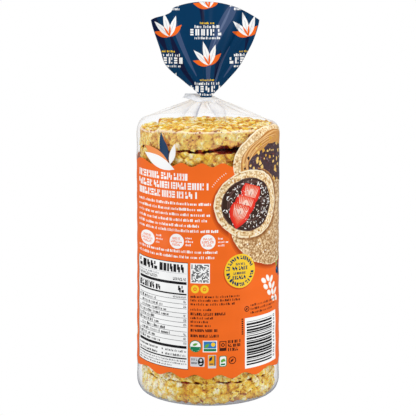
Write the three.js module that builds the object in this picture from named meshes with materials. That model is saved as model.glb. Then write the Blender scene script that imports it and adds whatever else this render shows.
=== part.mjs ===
// A sealed clear film bag that holds a stack of puffed rice cakes and stands on its flat base.
// Millimetres, +Z up, origin at the middle of the base. The printed back panel faces -Y.
// The bag is one solid: a round body drawn tight over the stack, a pleated tent of film over the
// top cake, a ruffled collar where the film is gathered, a thin neck and a flat fanned header.
import * as THREE from "three";

// The stack of cakes inside, which sets the body's size
const CAKE_COUNT = 13;
const CAKE_PITCH = 14.8;
const STACK_FOOT = 1.6;
const STACK_TOP = STACK_FOOT + CAKE_COUNT * CAKE_PITCH;

// Body
const BODY_RADIUS_LOW = 52;
const BODY_RADIUS_HIGH = 50.8;
const BASE_CORNER = 5;
const BASE_CORNER_HEIGHT = 9;
const SHOULDER_START = STACK_TOP - 7;
const WAIST_DEPTH = 0.25;

// Tent of film from the shoulder up to the gather. It leans: high on the left, low in front.
const TENT_RADIUS = 46.3;
const TENT_FOOT = STACK_TOP + 2.6;
const TENT_LEAN = 1.5;
const TENT_TILT = 2;
const TENT_PLEAT = 2.6;
const TENT_PLEAT_LIFT = 0.3;

// Pleats of the tent: turn at the gather, turn at the foot, side of the fold that sinks, width, depth
const TENT_CREASES = [
  [-0.97, -0.48, -1, 0.28, 0.6], [-0.4, -0.22, -1, 0.16, 1], [0.13, 0.24, 1, 0.2, 0.7],
  [1.1, 0.31, -1, 0.13, 0.6], [0.9, 1.25, -1, 0.1, 0.4], [2, 1.9, 1, 0.2, 0.6],
  [2.4, 2.3, 1, 0.16, 0.9], [2.85, 2.7, -1, 0.2, 0.6], [3.3, 3.1, 1, 0.15, 0.9],
  [3.75, 3.65, 1, 0.28, 0.6], [4.25, 4.3, -1, 0.18, 0.8],
];
const CREASE_LIP = 0.05;
const GATHER_RADIUS = 8;
const GATHER_HEIGHT = 211.4;

// Ruffled collar above the gather, longest on the left
const COLLAR_RADIUS = 12.4;
const COLLAR_REACH = 4.6;
const COLLAR_HEIGHT = 212.9;
const COLLAR_TILT = 2.2;
const COLLAR_TILT_BEHIND = 0.6;
const COLLAR_LEAN = 1;
const COLLAR_RUFFLE = 1.3;
const COLLAR_WAVE = 0.7;
const COLLAR_THICKNESS = 0.9;

// Neck and header
const NECK_RADIUS = 3.6;
const NECK_HEIGHT = 212.6;
const NECK_SHIFT = -1.3;
const HEADER_SHIFT = -0.7;
const HEADER_BULGE = 2;
const HEADER_HALF_WIDTHS = [3.6, 14.6, 25.6, 30.9, 35.2, 38.2];
const HEADER_SIDE_HEIGHT = 54.6;
const HEADER_MIDDLE_HEIGHT = 67.3;
const HEADER_STEP = 2.6;
const HEADER_HALF_DEPTH = 3;
const HEADER_BILLOW = 3;
const HEADER_FOLD = 5;
const HEADER_FOLD_START = 0.15;

// Creases across the header: place, width and how far the film steps back
const HEADER_CREASES = [
  [-0.9, 0.12, -0.7], [-0.61, 0.24, 0.72], [-0.3, 0.36, -0.25], [-0.04, 0.12, -0.45],
  [0.11, 0.16, 0.35], [0.49, 0.36, 1.05], [0.74, 0.12, -0.85], [0.88, 0.14, 0.45], [1, 0.12, -0.3],
];
const MOUTH_DEPTH = 7;

// Columns round the bag, and rings up each stretch
const COLUMNS = 112;
const CORNER_RINGS = 4;
const BODY_RINGS = 6;
const SHOULDER_RINGS = 4;
const TENT_RINGS = 8;
const HEADER_RINGS = 12;

const FILM_COLOUR = 0xee6c1f;

const mix = THREE.MathUtils.lerp;
const smooth = THREE.MathUtils.smoothstep;

// How far the tent's pleats sink: at once on a fold's sharp side, then easing back over its width
function tentDips(turn, share) {
  let total = 0;
  for (const [gatherTurn, footTurn, side, width, depth] of TENT_CREASES) {
    const apart = turn - mix(footTurn, gatherTurn, share ** 2);
    const away = side * (THREE.MathUtils.euclideanModulo(apart + Math.PI, 2 * Math.PI) - Math.PI);
    total += depth * (away > 0 ? Math.exp(-away / width) : Math.exp(away / CREASE_LIP));
  }
  return total;
}

// Folds across the header from its left edge (-1) to its right edge (1)
function headerFold(across) {
  let total = HEADER_FOLD_START;
  for (const [place, width, step] of HEADER_CREASES) {
    total += step * smooth(across, place - width / 2, place + width / 2);
  }
  return total;
}

// A point on the circle round the axis; turn 0 faces the front, -Y, and grows to the right
const onCircle = (turn, radius, height, shift = 0) =>
  new THREE.Vector3(shift + radius * Math.sin(turn), -radius * Math.cos(turn), height);

function bodyRadius(height) {
  const share = height / SHOULDER_START;
  const waist = WAIST_DEPTH * Math.sin(Math.PI * share) ** 2;
  return mix(BODY_RADIUS_LOW, BODY_RADIUS_HIGH, share) - waist;
}

// Each stretch below gives rings, from the base up. A ring is a function of the turn.
function baseRings() {
  return Array.from({ length: CORNER_RINGS }, (_, i) => {
    const angle = (Math.PI / 2) * (i / CORNER_RINGS);
    const radius = BODY_RADIUS_LOW - BASE_CORNER * (1 - Math.sin(angle));
    const height = BASE_CORNER_HEIGHT * (1 - Math.cos(angle));
    return (turn) => onCircle(turn, radius, height);
  });
}

function bodyRings() {
  return Array.from({ length: BODY_RINGS + 1 }, (_, i) => {
    const height = mix(BASE_CORNER_HEIGHT, SHOULDER_START, i / BODY_RINGS);
    return (turn) => onCircle(turn, bodyRadius(height), height);
  });
}

// The lean of the shoulder and tent: a share of TENT_LEAN up on the left and down on the right
const leanAt = (turn, share) => -TENT_LEAN * Math.sin(turn) * share;

function shoulderRings() {
  const inset = BODY_RADIUS_HIGH - TENT_RADIUS;
  return Array.from({ length: SHOULDER_RINGS - 1 }, (_, i) => {
    const share = (i + 1) / SHOULDER_RINGS;
    const angle = (Math.PI / 2) * share;
    const radius = BODY_RADIUS_HIGH - inset * (1 - Math.cos(angle));
    const height = mix(SHOULDER_START, TENT_FOOT, Math.sin(angle));
    return (turn) => onCircle(turn, radius, height + leanAt(turn, share));
  });
}

function tentRings() {
  return Array.from({ length: TENT_RINGS + 1 }, (_, i) => {
    const share = i / TENT_RINGS;
    const radius = mix(TENT_RADIUS, GATHER_RADIUS, share);
    const height = mix(TENT_FOOT, GATHER_HEIGHT, share);
    const pleat = TENT_PLEAT * smooth(share, 0, 0.5) * (1 - 0.45 * smooth(share, 0.6, 1));
    const rise = (turn) => leanAt(turn, 1 - share) - TENT_TILT * Math.cos(turn) * share ** 2;
    const relief = (turn) => pleat * (TENT_PLEAT_LIFT - tentDips(turn, share));
    return (turn) => onCircle(turn, radius, height + rise(turn) + relief(turn), NECK_SHIFT * share);
  });
}

function collarRings() {
  const reach = (turn) =>
    COLLAR_RADIUS - COLLAR_REACH * Math.sin(turn) + COLLAR_RUFFLE * Math.sin(5 * turn + 0.7);
  const tilt = (turn) => (Math.cos(turn) > 0 ? COLLAR_TILT : COLLAR_TILT_BEHIND) * Math.cos(turn);
  const height = (turn) => COLLAR_HEIGHT - tilt(turn) - COLLAR_LEAN * Math.sin(turn);
  const wave = (turn) => COLLAR_WAVE * Math.sin(6 * turn + 1.1);
  const inner = (turn) => mix(reach(turn), NECK_RADIUS, 0.55);
  return [
    (turn) => onCircle(turn, reach(turn), height(turn) + wave(turn), NECK_SHIFT),
    (turn) => onCircle(turn, inner(turn), height(turn) + COLLAR_THICKNESS, NECK_SHIFT),
  ];
}

// The header's half width by its share of the height: it swells quickly, then rises straighter
const headerEdge = new THREE.SplineCurve(
  HEADER_HALF_WIDTHS.map((width, i) => new THREE.Vector2(i, width)),
);

// Height of the header's top edge above the neck: an arc with the panel left of a fold set lower
function headerRise(across) {
  const arc = mix(HEADER_MIDDLE_HEIGHT, HEADER_SIDE_HEIGHT, Math.abs(across) ** 2.1);
  return arc - HEADER_STEP * (1 - smooth(across, -0.64, -0.58)) * smooth(across, -1, -0.7);
}

function headerRings() {
  return Array.from({ length: HEADER_RINGS + 1 }, (_, i) => {
    const share = i / HEADER_RINGS;
    const width = headerEdge.getPoint(share).y;
    const flat = smooth(share, 0, 0.3);
    const depth = mix(NECK_RADIUS, HEADER_HALF_DEPTH, share) + HEADER_BILLOW * Math.sin(Math.PI * share);
    const spread = mix(0.5, 1, share);
    const fold = (HEADER_FOLD * spread * width) / HEADER_HALF_WIDTHS.at(-1);
    const shift = NECK_SHIFT + HEADER_SHIFT * share - HEADER_BULGE * Math.exp(-(((share - 0.42) / 0.2) ** 2));
    return (turn) => {
      const across = mix(Math.sin(turn), (2 / Math.PI) * Math.asin(Math.sin(turn)), flat);
      return new THREE.Vector3(
        shift + width * across,
        -depth * Math.cos(turn) + fold * headerFold(across / spread),
        NECK_HEIGHT + headerRise(across) * share,
      );
    };
  });
}

// Skins the rings, closes the base with a fan and the header's mouth with a shallow groove
function bagGeometry() {
  const rings = [
    ...baseRings(), ...bodyRings(), ...shoulderRings(), ...tentRings(), ...collarRings(), ...headerRings(),
  ];
  const places = [];
  const faces = [];
  const turnOf = (column) => -Math.PI + (2 * Math.PI * column) / COLUMNS;
  const vertex = (ring, column) => ring * COLUMNS + (((column % COLUMNS) + COLUMNS) % COLUMNS);
  const quad = (a, b, c, d) => faces.push(a, b, c, a, c, d);

  for (const ring of rings) {
    for (let column = 0; column < COLUMNS; column++) places.push(ring(turnOf(column)));
  }
  for (let ring = 0; ring + 1 < rings.length; ring++) {
    for (let column = 0; column < COLUMNS; column++) {
      quad(
        vertex(ring, column), vertex(ring, column + 1),
        vertex(ring + 1, column + 1), vertex(ring + 1, column),
      );
    }
  }

  const baseMiddle = places.push(new THREE.Vector3(0, 0, 0)) - 1;
  for (let column = 0; column < COLUMNS; column++) {
    faces.push(baseMiddle, vertex(0, column + 1), vertex(0, column));
  }

  const top = rings.length - 1;
  const left = COLUMNS / 4;
  const right = (3 * COLUMNS) / 4;
  const front = (column) => vertex(top, column);
  const back = (column) => vertex(top, COLUMNS / 2 - column);
  const middle = [];
  for (let column = left; column <= right; column++) {
    if (column === left || column === right) {
      middle[column] = front(column);
      continue;
    }
    const place = places[front(column)].clone().lerp(places[back(column)], 0.5);
    place.z -= MOUTH_DEPTH * Math.cos(turnOf(column)) ** 0.5;
    middle[column] = places.push(place) - 1;
  }
  const face = (...corners) => {
    const [a, b, c, d] = corners.filter((corner, i) => corners.indexOf(corner) === i);
    if (d === undefined) faces.push(a, b, c);
    else quad(a, b, c, d);
  };
  for (let column = left; column < right; column++) {
    face(front(column), front(column + 1), middle[column + 1], middle[column]);
    face(middle[column], middle[column + 1], back(column + 1), back(column));
  }

  const geometry = new THREE.BufferGeometry().setFromPoints(places);
  geometry.setIndex(faces);
  geometry.computeVertexNormals();
  return geometry;
}

const film = new THREE.MeshStandardMaterial({ color: FILM_COLOUR, roughness: 0.35, metalness: 0 });
const bag = new THREE.Mesh(bagGeometry(), film);
bag.name = "rice_cake_bag";

const part = new THREE.Group();
part.add(bag);

export default part;
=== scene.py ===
"""A clear film bag of puffed rice cakes, shown from its printed back panel.

Shapes are worked out in millimetres and become metres when a mesh is made. The film follows the
same curves as the CAD solid: a tight round body, a pleated tent, a ruffled collar, a thin neck
and a fanned header. Print is cut into the film's own faces as fields of plain ink.

A turn is an angle round the bag, 0 in front and growing to the right. A place of the label's
print is (u, v): the length round the bag from the middle of the back panel, and the height.
"""
import math

import bpy
import numpy as np
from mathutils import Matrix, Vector
from mathutils.geometry import delaunay_2d_cdt


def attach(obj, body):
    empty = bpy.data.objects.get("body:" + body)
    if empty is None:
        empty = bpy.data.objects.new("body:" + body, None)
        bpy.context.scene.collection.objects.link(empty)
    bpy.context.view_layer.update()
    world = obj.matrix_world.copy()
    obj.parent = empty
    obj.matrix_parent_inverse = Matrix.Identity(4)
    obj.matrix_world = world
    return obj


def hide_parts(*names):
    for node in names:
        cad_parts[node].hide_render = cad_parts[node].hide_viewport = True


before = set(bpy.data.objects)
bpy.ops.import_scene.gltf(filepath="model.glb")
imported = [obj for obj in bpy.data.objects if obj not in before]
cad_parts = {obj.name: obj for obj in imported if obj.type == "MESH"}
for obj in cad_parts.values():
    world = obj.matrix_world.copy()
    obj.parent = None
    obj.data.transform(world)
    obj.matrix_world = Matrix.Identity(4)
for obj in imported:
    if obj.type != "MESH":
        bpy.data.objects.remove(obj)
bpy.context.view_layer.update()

MM = 0.001
TAU = 2 * math.pi

# Seeds of the random draws; the header has one for its front and one for its back
NOISE_SEED = 5
LABEL_SEED = 7
HEADER_SEEDS = {-1: 10, 1: 12}
CAKE_SEED = 100

# Stack of cakes, and the air under each cake that doesn't show
CAKE_COUNT = 13
CAKE_PITCH = 14.8
CAKE_RADIUS = 48.6
STACK_FOOT = 1.6
STACK_TOP = STACK_FOOT + CAKE_COUNT * CAKE_PITCH
CAKE_AIR = 0.3

# One cake: thickness, slope of the lower and upper face to the right, rounding of the upper and
# lower edge, waviness of its hem, relief round its side, height of the notch in its hem, paleness
# of its rim, painted light on its left and right, paleness of its faces, and whether its top is chipped
PLAIN_CAKE = {"height": 14.2, "low_wedge": 0, "high_wedge": 0, "upper_edge": 2, "lower_edge": 2,
              "hem": 0.35, "relief": 1, "notch": 0, "pale_rim": 0.2, "painted_side_light": 0,
              "pale_face": 0, "chipped": False}

# How the cakes that show differ from that, by number from the bottom
CAKE_FORMS = {
    0: {"base": 0.9, "height": 15.6, "upper_edge": 1.6, "lower_edge": 1.6, "relief": 0.85,
        "painted_side_light": 0.36},
    1: {"base": 15.7, "height": 15.2, "lower_edge": 1.6, "relief": 0.85, "painted_side_light": 0.36},
    11: {"base": 165.2, "height": 14.3, "high_wedge": -0.01, "upper_edge": 1.2},
    12: {"base": 180.7, "height": 13.9, "low_wedge": 0.04, "upper_edge": 2.5, "lower_edge": 1.2,
         "hem": 0.8, "relief": 0.75, "notch": 3, "pale_rim": 0.75, "pale_face": 0.26, "chipped": True},
}

# Mesh of a cake: cells across its faces and rows down its side, where it shows and where not
SHOWN_CELLS = (136, 30)
HIDDEN_CELLS = (44, 10)

# Grains on the faces and round the side: least gap, tries, ranges of length and width, and depth
FACE_GRAIN = {"gap": 4.4, "tries": 2600, "length": (3.0, 4.4), "width": (2.2, 3.0), "depth": 3.0}
SIDE_GRAIN = {"gap": 4.8, "tries": 2200, "length": (3.4, 5.2), "width": (2.5, 3.4), "depth": 3.2}
GRAIN_MARGIN = 1.8
GRAIN_DRIFTS = ((1.2, 3.6), (0.6, 1.5))

# Relief of the grains: levels, tilt, dome, lowest and highest rise, grooves, and relief on a face
GRAIN_LEVELS = (-0.75, 0.25)
GRAIN_TILT = 0.17
GRAIN_DOME = 0.34
RISE_LIMITS = (-1.1, 0.45)
GROOVE_DEPTH = 0.48
GROOVE_WIDTH = 0.15
SEAM_WIDTH = 0.11
FACE_RELIEF = 1.45

# Roughness of the skin: wavelength, offset in the noise, and height on the faces and at the side.
# Each cake's noise lies a step beyond that of the cake below it
NOISE_STEP = 40.0
SKIN_WAVES = ((2.6, 0, 0.26, 0.26), (1.3, 9, 0.16, 0.26), (0.8, 5, 0.08, 0.16), (8.0, 70, 0, 0.4))

# Notch in the top cake's hem, and its chip: lengths to the left between which it drops, and depth
NOTCH_TURN = 0.24
NOTCH_WIDTH = 0.075
CHIP_EDGE = (34.5, 36.5)
CHIP_DEPTH = 1.9

# Skin counts as a face up to this steepness; slope and spread of the rim between face and side
FACE_STEEPNESS = 0.02
RIM_SLOPE = 0.5
RIM_SPREAD = 0.4

# Colour of the cakes: tone of a grain on the ramp from gold to cream, how much its middle, patches,
# rise and slopes change it, the last two as painted shade in hollows and on steep flanks, and
# painted shade on the faces hidden between cakes
TONE_MIDDLE = 0.48
TONE_SPREAD = 0.5
TONE_BY_PLACE = 0.16
TONE_BY_PATCH = 0.2
TONE_BY_RISE = 0.2
TONE_BY_SLOPE = 0.5
HIDDEN_FACE_SHADE = 1.0
BASE_FACE_SHADE = 0.15
RICE_TONES = ((0.04, (196, 120, 6)), (0.28, (233, 176, 16)), (0.5, (244, 210, 62)),
              (0.74, (250, 232, 134)), (0.98, (255, 250, 212)))
RICE_GOLD = (244, 198, 34)
RICE_SEAM = (202, 120, 8)
RICE_RIM = (250, 236, 212)
RICE_BRAN = (150, 62, 24)
RICE_RED = (156, 50, 20)
RICE_SPECK = (60, 40, 34)
RICE_GAP_SHADE = (168, 50, 16)

# Body of the film, as in the CAD solid
BODY_RADIUS_LOW = 52
BODY_RADIUS_HIGH = 50.8
BASE_CORNER = 5
BASE_CORNER_HEIGHT = 9
BASE_CREASE = 0.35
BASE_CREASES = 26
WAIST_DEPTH = 0.25
CLING_DEPTH = 0.12
WRINKLE_DEPTH = 0.09
SHOULDER_START = STACK_TOP - 7
SHOULDER_LENGTH = 10.7

# Upright wrinkles of the body: how many, how far they sway, the height of a sway, and their part
WRINKLES = ((23, 1.5, 31, 0.6), (37, -2, 23, 0.4))

# Tent of film, as in the CAD solid
TENT_RADIUS = 46.3
TENT_FOOT = STACK_TOP + 2.6
TENT_LEAN = 1.5
TENT_TILT = 2
TENT_PLEAT = 2.6
TENT_PLEAT_LIFT = 0.3
GATHER_RADIUS = 8
GATHER_HEIGHT = 211.4

# Pleats of the tent: turn at the gather, turn at the foot, side of the fold that sinks, width, depth
TENT_CREASES = (
    (-0.97, -0.48, -1, 0.28, 0.6), (-0.4, -0.22, -1, 0.16, 1), (0.13, 0.24, 1, 0.2, 0.7),
    (1.1, 0.31, -1, 0.13, 0.6), (0.9, 1.25, -1, 0.1, 0.4), (2, 1.9, 1, 0.2, 0.6),
    (2.4, 2.3, 1, 0.16, 0.9), (2.85, 2.7, -1, 0.2, 0.6), (3.3, 3.1, 1, 0.15, 0.9),
    (3.75, 3.65, 1, 0.28, 0.6), (4.25, 4.3, -1, 0.18, 0.8),
)

# Turn over which a pleat's sharp side drops, in its shape and in its shade, and the shade's contrast
CREASE_LIP = 0.05
SHADE_LIP = 0.015
SHADE_POWER = 1.8

# Collar and neck, as in the CAD solid
COLLAR_RADIUS = 12.4
COLLAR_REACH = 4.6
COLLAR_HEIGHT = 212.9
COLLAR_TILT = 2.2
COLLAR_TILT_BEHIND = 0.6
COLLAR_LEAN = 1
COLLAR_RUFFLE = 1.3
COLLAR_WAVE = 0.7
NECK_RADIUS = 3.6
NECK_HEIGHT = 212.6
NECK_SHIFT = -1.3

# Header, as in the CAD solid; its creases have a place across it, a width and a step
HEADER_SHIFT = -0.7
HEADER_BULGE = 2
HEADER_HALF_WIDTHS = (3.6, 14.6, 25.6, 30.9, 35.2, 38.2)
HEADER_SIDE_HEIGHT = 54.6
HEADER_MIDDLE_HEIGHT = 67.3
HEADER_STEP = 2.6
HEADER_HALF_DEPTH = 3
HEADER_BILLOW = 3
HEADER_FOLD = 5
HEADER_FOLD_START = 0.15
HEADER_THICKNESS = 0.15
HEADER_CREASES = (
    (-0.90, 0.12, -0.70), (-0.61, 0.24, 0.72), (-0.30, 0.36, -0.25), (-0.04, 0.12, -0.45),
    (0.11, 0.16, 0.35), (0.49, 0.36, 1.05), (0.74, 0.12, -0.85), (0.88, 0.14, 0.45), (1.00, 0.12, -0.30),
)

# Looks of the clear film: columns round it, colours, haze, paleness, and how strongly it fogs when
# seen edge on. The tent fogs between two shares of the way up, which differ in front and behind
FILM_COLUMNS = 480
FILM_CLEAR = (0.99, 0.99, 0.995, 1.0)
# Grey and white ends of the film's tint. Besides the film's own haze, the tint is partly painted light:
# greyer on the base and low wall as painted shade under the stack, whiter up the shoulder and tent as
# painted top light
FILM_GREY = (148, 155, 175)
FILM_WHITE = (247, 249, 252)
BASE_HAZE = 0.6
CORNER_HAZE = 0.34
BASE_PALE = 0.05
WALL_HAZE = 0.004
WALL_PALES = (0.4, 0.75)
WALL_VEILS = (2.2, 1.5)
TENT_HAZE = 0.42
FOG_FRONT = (0.46, 0.62)
FOG_BEHIND = (0.3, 0.7)
FOG_BEHIND_LOW = 0.08
FOG_BEHIND_RISE = 0.3
# Painted shade along the tent's pleats, and a painted shadow just under the collar
TENT_SHADE = 0.75
TENT_PALE = 0.95
TENT_VEIL = 0.5
COLLAR_SHADOW = 0.1
COLLAR_HAZE = 0.85
COLLAR_PALE = 0.93

# Label: lengths round the bag are measured at this radius; height, wavelength and place of the
# waves of its lower and upper edge
LABEL_RADIUS = 51.3
LABEL_TURN = TAU * LABEL_RADIUS
LABEL_SEAM = 108.0
LABEL_LOW = 22.2
LABEL_HIGH = 171.3
LABEL_LOW_WAVE = (1.6, 17.0, -8.9)
LABEL_HIGH_WAVE = (1.3, 14.0, -4.1)
INK_LIFT = 0.12
INK_THICKNESS = 0.08
PRINT_EDGE = 3
PRINT_GRID = 3.2

# Leaves on the label's upper edge: ink, foot, length, width and turn
EDGE_LEAVES = (
    ("navy", -30.0, 172.0, 20.0, 7.4, 1.86), ("orange_light", -28.0, 171.0, 27.5, 8.4, 2.72),
    ("white", -24.0, 167.6, 31.0, 8.2, 2.82), ("white", -27.5, 171.0, 15.0, 4.6, 1.3),
)

# Lines of the back panel from one left end, each with its foot and its width; heights of the bold
# lines and of the text, and how bold the bold ones are
PANEL_TEXT_LEFT = -65.0
HEAD_HEIGHT = 4.7
HEAD_WEIGHT = 0.25
TEXT_HEIGHT = 1.9
HEAD_LINES = ((160.4, 53.5), (154.2, 67.8), (148.0, 59.8))
STORY_LINES = ((143.4, 67.7), (139.6, 60.9), (135.8, 66.4), (132.0, 64.3), (128.2, 59.1), (124.6, 71.9))
LAST_LINES = ((110.0, 71.6), (106.2, 71.2))

# White seals: middle and how wide they are for their height; their half height; the lines in them,
# by rise and half width, and beside them, by foot and width
SEALS = ((-56.0, 117.2, 1.45), (-25.5, 117.8, 1.4), (0.0, 118.2, 1.0))
SEAL_RADIUS = 5.2
SEAL_LINES = ((1.5, 3.2), (-0.6, 4.2), (-2.7, 3.2))
SEAL_TEXT_LEFTS = (-47.0, -16.6, 7.0)
SEAL_TEXT = ((119.8, 5.4), (117.4, 7.2), (115.0, 4.8))

# White table; the panel is respaced to look even from in front between its left and right edge
TABLE_LEFT = -66.0
TABLE_RIGHT = -13.9
TABLE_LOW = 27.0
TABLE_HIGH = 103.2
TABLE_MARGIN = 1.6
TABLE_OUTLINE = 0.45

# Its rows: how many, height of the first, step down, which are indented and which have no value
TABLE_ROWS = 10
ROW_TOP = 76.9
ROW_STEP = 3.3
INDENTED_ROWS = (1, 2, 6, 7)
ROWS_WITHOUT_VALUE = (2, 6)

# Tile of cells: its box, its edge, cells along a side, how many are dark, and a cell's filled part
CELL_TILE = (-12.2, 1.3, 89.0, 103.0)
CELL_EDGE = 0.7
CELL_COUNT = 15
DARK_CELLS = 0.56
CELL_FILL = 0.92

# Discs below the tile: places, height, and inks with radii
TILE_DISCS = (-9.0, -2.4)
TILE_DISC_HEIGHT = 84.9
TILE_DISC_RINGS = (("yellow", 2.9), ("orange", 1.3), ("yellow", 0.6))

# Small print below them: foot, width and whether it is bold
SMALL_PRINT_LEFT = -12.2
SMALL_PRINT = (
    (78.7, 34.7, 0), (76.1, 35.2, 0), (73.4, 32.7, 0), (69.6, 15.0, 0), (66.3, 25.5, 1),
    (63.6, 15.6, 0), (60.9, 14.4, 0), (58.2, 15.0, 0), (54.6, 19.8, 1), (50.7, 20.5, 1),
)

# Pictured cakes: middle and half axes; fruit slices on the last: tip and length
SPREAD_CAKE = (57.0, 170.4, 39.5, 25.4)
BARE_CAKE = (58.0, 127.0, 41.5, 29.6)
CHOCOLATE_CAKE = (31.6, 143.2, 27.6, 23.8)
FRUIT_SLICES = ((28.3, 139.0, 18.0), (23.7, 132.0, 17.4), (19.6, 126.6, 17.6))
FRUIT_WIDTH = 16.6
FRUIT_TURN = 1.28

# Yellow disc: middle and radius; its straight lines: foot from the middle, half width, height
YELLOW_DISC = (23.4, 96.8, 12.0)
DISC_LINES = ((4.2, 3.6, 1.7), (0.7, 6.2, 2.7), (-2.3, 5.4, 1.7), (-5.9, 6.0, 2.7))

# Grains of the ear and berries beside it
EAR_GRAINS = ((44.6, 87.0), (49.6, 88.0), (54.6, 86.6), (46.8, 82.2), (52.6, 82.4), (57.6, 81.4),
              (51.4, 77.2), (56.6, 76.8), (61.6, 76.6), (57.4, 71.8), (62.6, 71.4))
EAR_TURNS = (-0.55, -0.9, 0.75)
BERRIES = ((66.0, 91.0, "navy"), (71.0, 88.5, "navy"), (69.5, 94.0, "jam"))

# Corners of the green ground in the round badge
BADGE_GROUND = ((-12.4, 43.9), (-5.2, 43.9), (-5.9, 42.0), (-7.4, 40.9), (-8.8, 40.6), (-10.2, 40.9),
                (-11.7, 42.0))

# Barcode: its box, the thicknesses of its bars and of the gaps between them
BARCODE = (26.9, 62.0, 26.2, 62.6)
BAR_STEPS = (0.4, 0.7, 1.1, 1.5)
BAR_GAPS = (0.35, 0.5, 0.8)

# Far side of the label: its middle, the plaque with its ovals and sprig, the pictured cake, the two
# discs, and centred lines by foot, width, height and boldness
FAR_MIDDLE = -154.0
PLAQUE_HEIGHT = 140.0
PLAQUE_OVALS = (("white", 41.0, 21.5), ("navy", 39.4, 20.0), ("white", 37.0, 18.0), ("navy", 36.2, 17.2))
PLAQUE_SPRIG_DROP = 12.0
PLAQUE_SPRIG_SIZE = 23.0
FAR_CAKE_HEIGHT = 69.0
FAR_DISCS = (-196.0, -112.0)
FAR_DISC_HEIGHT = 100.0
FAR_DISC_RADIUS = 9.5
FAR_DISC_LINES = ((101.4, 13, 2.4, True), (97.4, 11, 2.4, True))
FAR_UPPER_LINES = ((111.0, 60, 3.4, True), (105.5, 50, 2.2, False))
FAR_LOWER_LINES = ((33.0, 60, 2.6, True), (28.6, 44, 1.6, False))

# Flat plane in which the header's print is cut, and the points along its rim and over its grid
HEADER_PLANE = np.array([40.0, 62.0])
HEADER_RIM = (60, 34)
HEADER_GRID = (66, 40)

# Header print, in its picture plane: middle of a motif, the gaps between columns and rows, and its
# centred lines by ink, rise, width, height and boldness
MOTIF_X = -0.4
MOTIF_Z = 256.7
MOTIF_COLUMN = 27.7
MOTIF_ROW = 39.9
MOTIF_LINES = (("yellow", 7.9, 10.5, 1.4, False), ("white", 5.1, 18.0, 2.0, False),
               ("white", 0, 24.0, 4.4, True), ("white", -2.6, 18.0, 1.7, False))

# Painted shade and light of the header along its folds: painted shade in them, painted sheen and
# highlights on them; a path with its widths
FOLD_BANDS = (
    ("navy_deep", ((-39, 268), (-34, 256), (-28, 243)), (6, 5, 0.5)),
    ("navy_deep", ((-27.4, 260), (-22.6, 246), (-16.8, 232), (-7.5, 219)), (0.5, 4, 3.4, 1)),
    ("navy_deep", ((-5, 277), (-3.6, 268), (-3, 259)), (2.6, 2.2, 0.4)),
    ("navy_deep", ((9, 246), (6.4, 236), (4.6, 226)), (0.4, 2.4, 0.6)),
    ("navy_deep", ((27, 268), (28, 257), (26, 246)), (0.4, 2.6, 0.6)),
    ("navy_rubbed", ((19.5, 279), (14.8, 271), (8.4, 260), (3.0, 248), (0.4, 236), (0.2, 222)),
     (4.4, 7.4, 6.4, 4.4, 3.6, 2.0)),
    ("navy_pale", ((16.4, 277), (12.4, 268), (6.8, 257), (2.6, 247)), (0.4, 1.6, 1.2, 0.3)),
    ("navy_rubbed", ((-23.6, 270), (-21.6, 259), (-18.0, 249), (-13.5, 239), (-8, 228)),
     (1.2, 3.4, 3.2, 2.4, 0.5)),
    ("navy_rubbed", ((15.4, 249), (9.6, 238), (5.8, 226), (4.6, 219)), (0.4, 1.6, 1.4, 0.5)),
    ("navy_rubbed", ((22.5, 243), (16.5, 235), (11, 227)), (0.3, 1.6, 0.4)),
)

# Inks in 8-bit sRGB, those of a soft shadow, and how strongly the puffed grain marks some of them
INKS = {
    "orange": (246, 109, 31), "orange_light": (247, 150, 84), "orange_dim": (224, 96, 26),
    "orange_shade": (208, 84, 22), "orange_deep": (184, 70, 18), "white": (252, 252, 250),
    "cream": (250, 240, 222), "black": (22, 20, 24), "brown": (76, 32, 18), "grey": (150, 152, 158),
    "grey_dark": (74, 74, 80), "silver": (214, 216, 220), "navy": (2, 54, 92),
    "navy_deep": (16, 26, 62), "navy_rubbed": (62, 82, 118), "navy_pale": (92, 108, 142),
    "leaf_vein": (206, 210, 218), "yellow": (250, 206, 48), "green": (24, 128, 84),
    "leaf": (104, 172, 66), "blue": (52, 122, 190), "oat": (226, 188, 134),
    "oat_pale": (248, 222, 172), "oat_deep": (200, 150, 92), "oat_dark": (168, 116, 66),
    "caramel": (210, 150, 78), "caramel_pale": (232, 184, 120), "caramel_dark": (172, 108, 48),
    "cocoa": (62, 42, 34), "cocoa_light": (98, 70, 64), "cocoa_grey": (140, 118, 112),
    "jam": (80, 60, 64), "jam_light": (118, 96, 104), "jam_deep": (34, 22, 34),
    "jam_red": (130, 48, 40), "berry": (226, 42, 30), "berry_light": (236, 66, 42),
    "berry_mid": (236, 96, 66), "berry_pale": (249, 208, 190), "berry_dark": (150, 34, 24),
    "crumb": (240, 200, 116), "crumb_deep": (214, 160, 66), "ochre": (236, 170, 30),
    "puff": (244, 213, 158), "puff_pale": (252, 236, 202), "puff_deep": (206, 148, 80),
}
INK_NAMES = list(INKS)
SHADOW_INKS = ("orange_dim", "orange_shade", "orange_deep")
GRAINY_INKS = {"oat": 1.0, "oat_pale": 0.8, "oat_deep": 0.7, "oat_dark": 0.6, "puff": 0.6,
               "puff_deep": 0.6, "caramel": 0.12, "jam": 0.3, "cocoa": 0.15}

# Studio, in metres and watts: name, place, width, height and power of each softbox
CAMERA_PLACE = (0, -0.972, 0.305)
CAMERA_PITCH = 0.17527
CAMERA_LENS = 118.56
CAMERA_SENSOR = 36
BAG_MIDDLE = (0, 0, 0.14)
WORLD_LIGHT = 0.71
WORLD_MIRRORED = 0.2
SOFTBOXES = (
    ("softbox_right", (0.9, -0.5, 0.45), 0.13, 0.9, 4.2),
    ("softbox_left", (-0.95, -0.3, 0.35), 0.13, 0.9, 3.3),
    ("softbox_top", (0.05, -0.1, 1.1), 0.7, 0.7, 3.6),
)


def mix(a, b, t):
    return a + (b - a) * t


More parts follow.
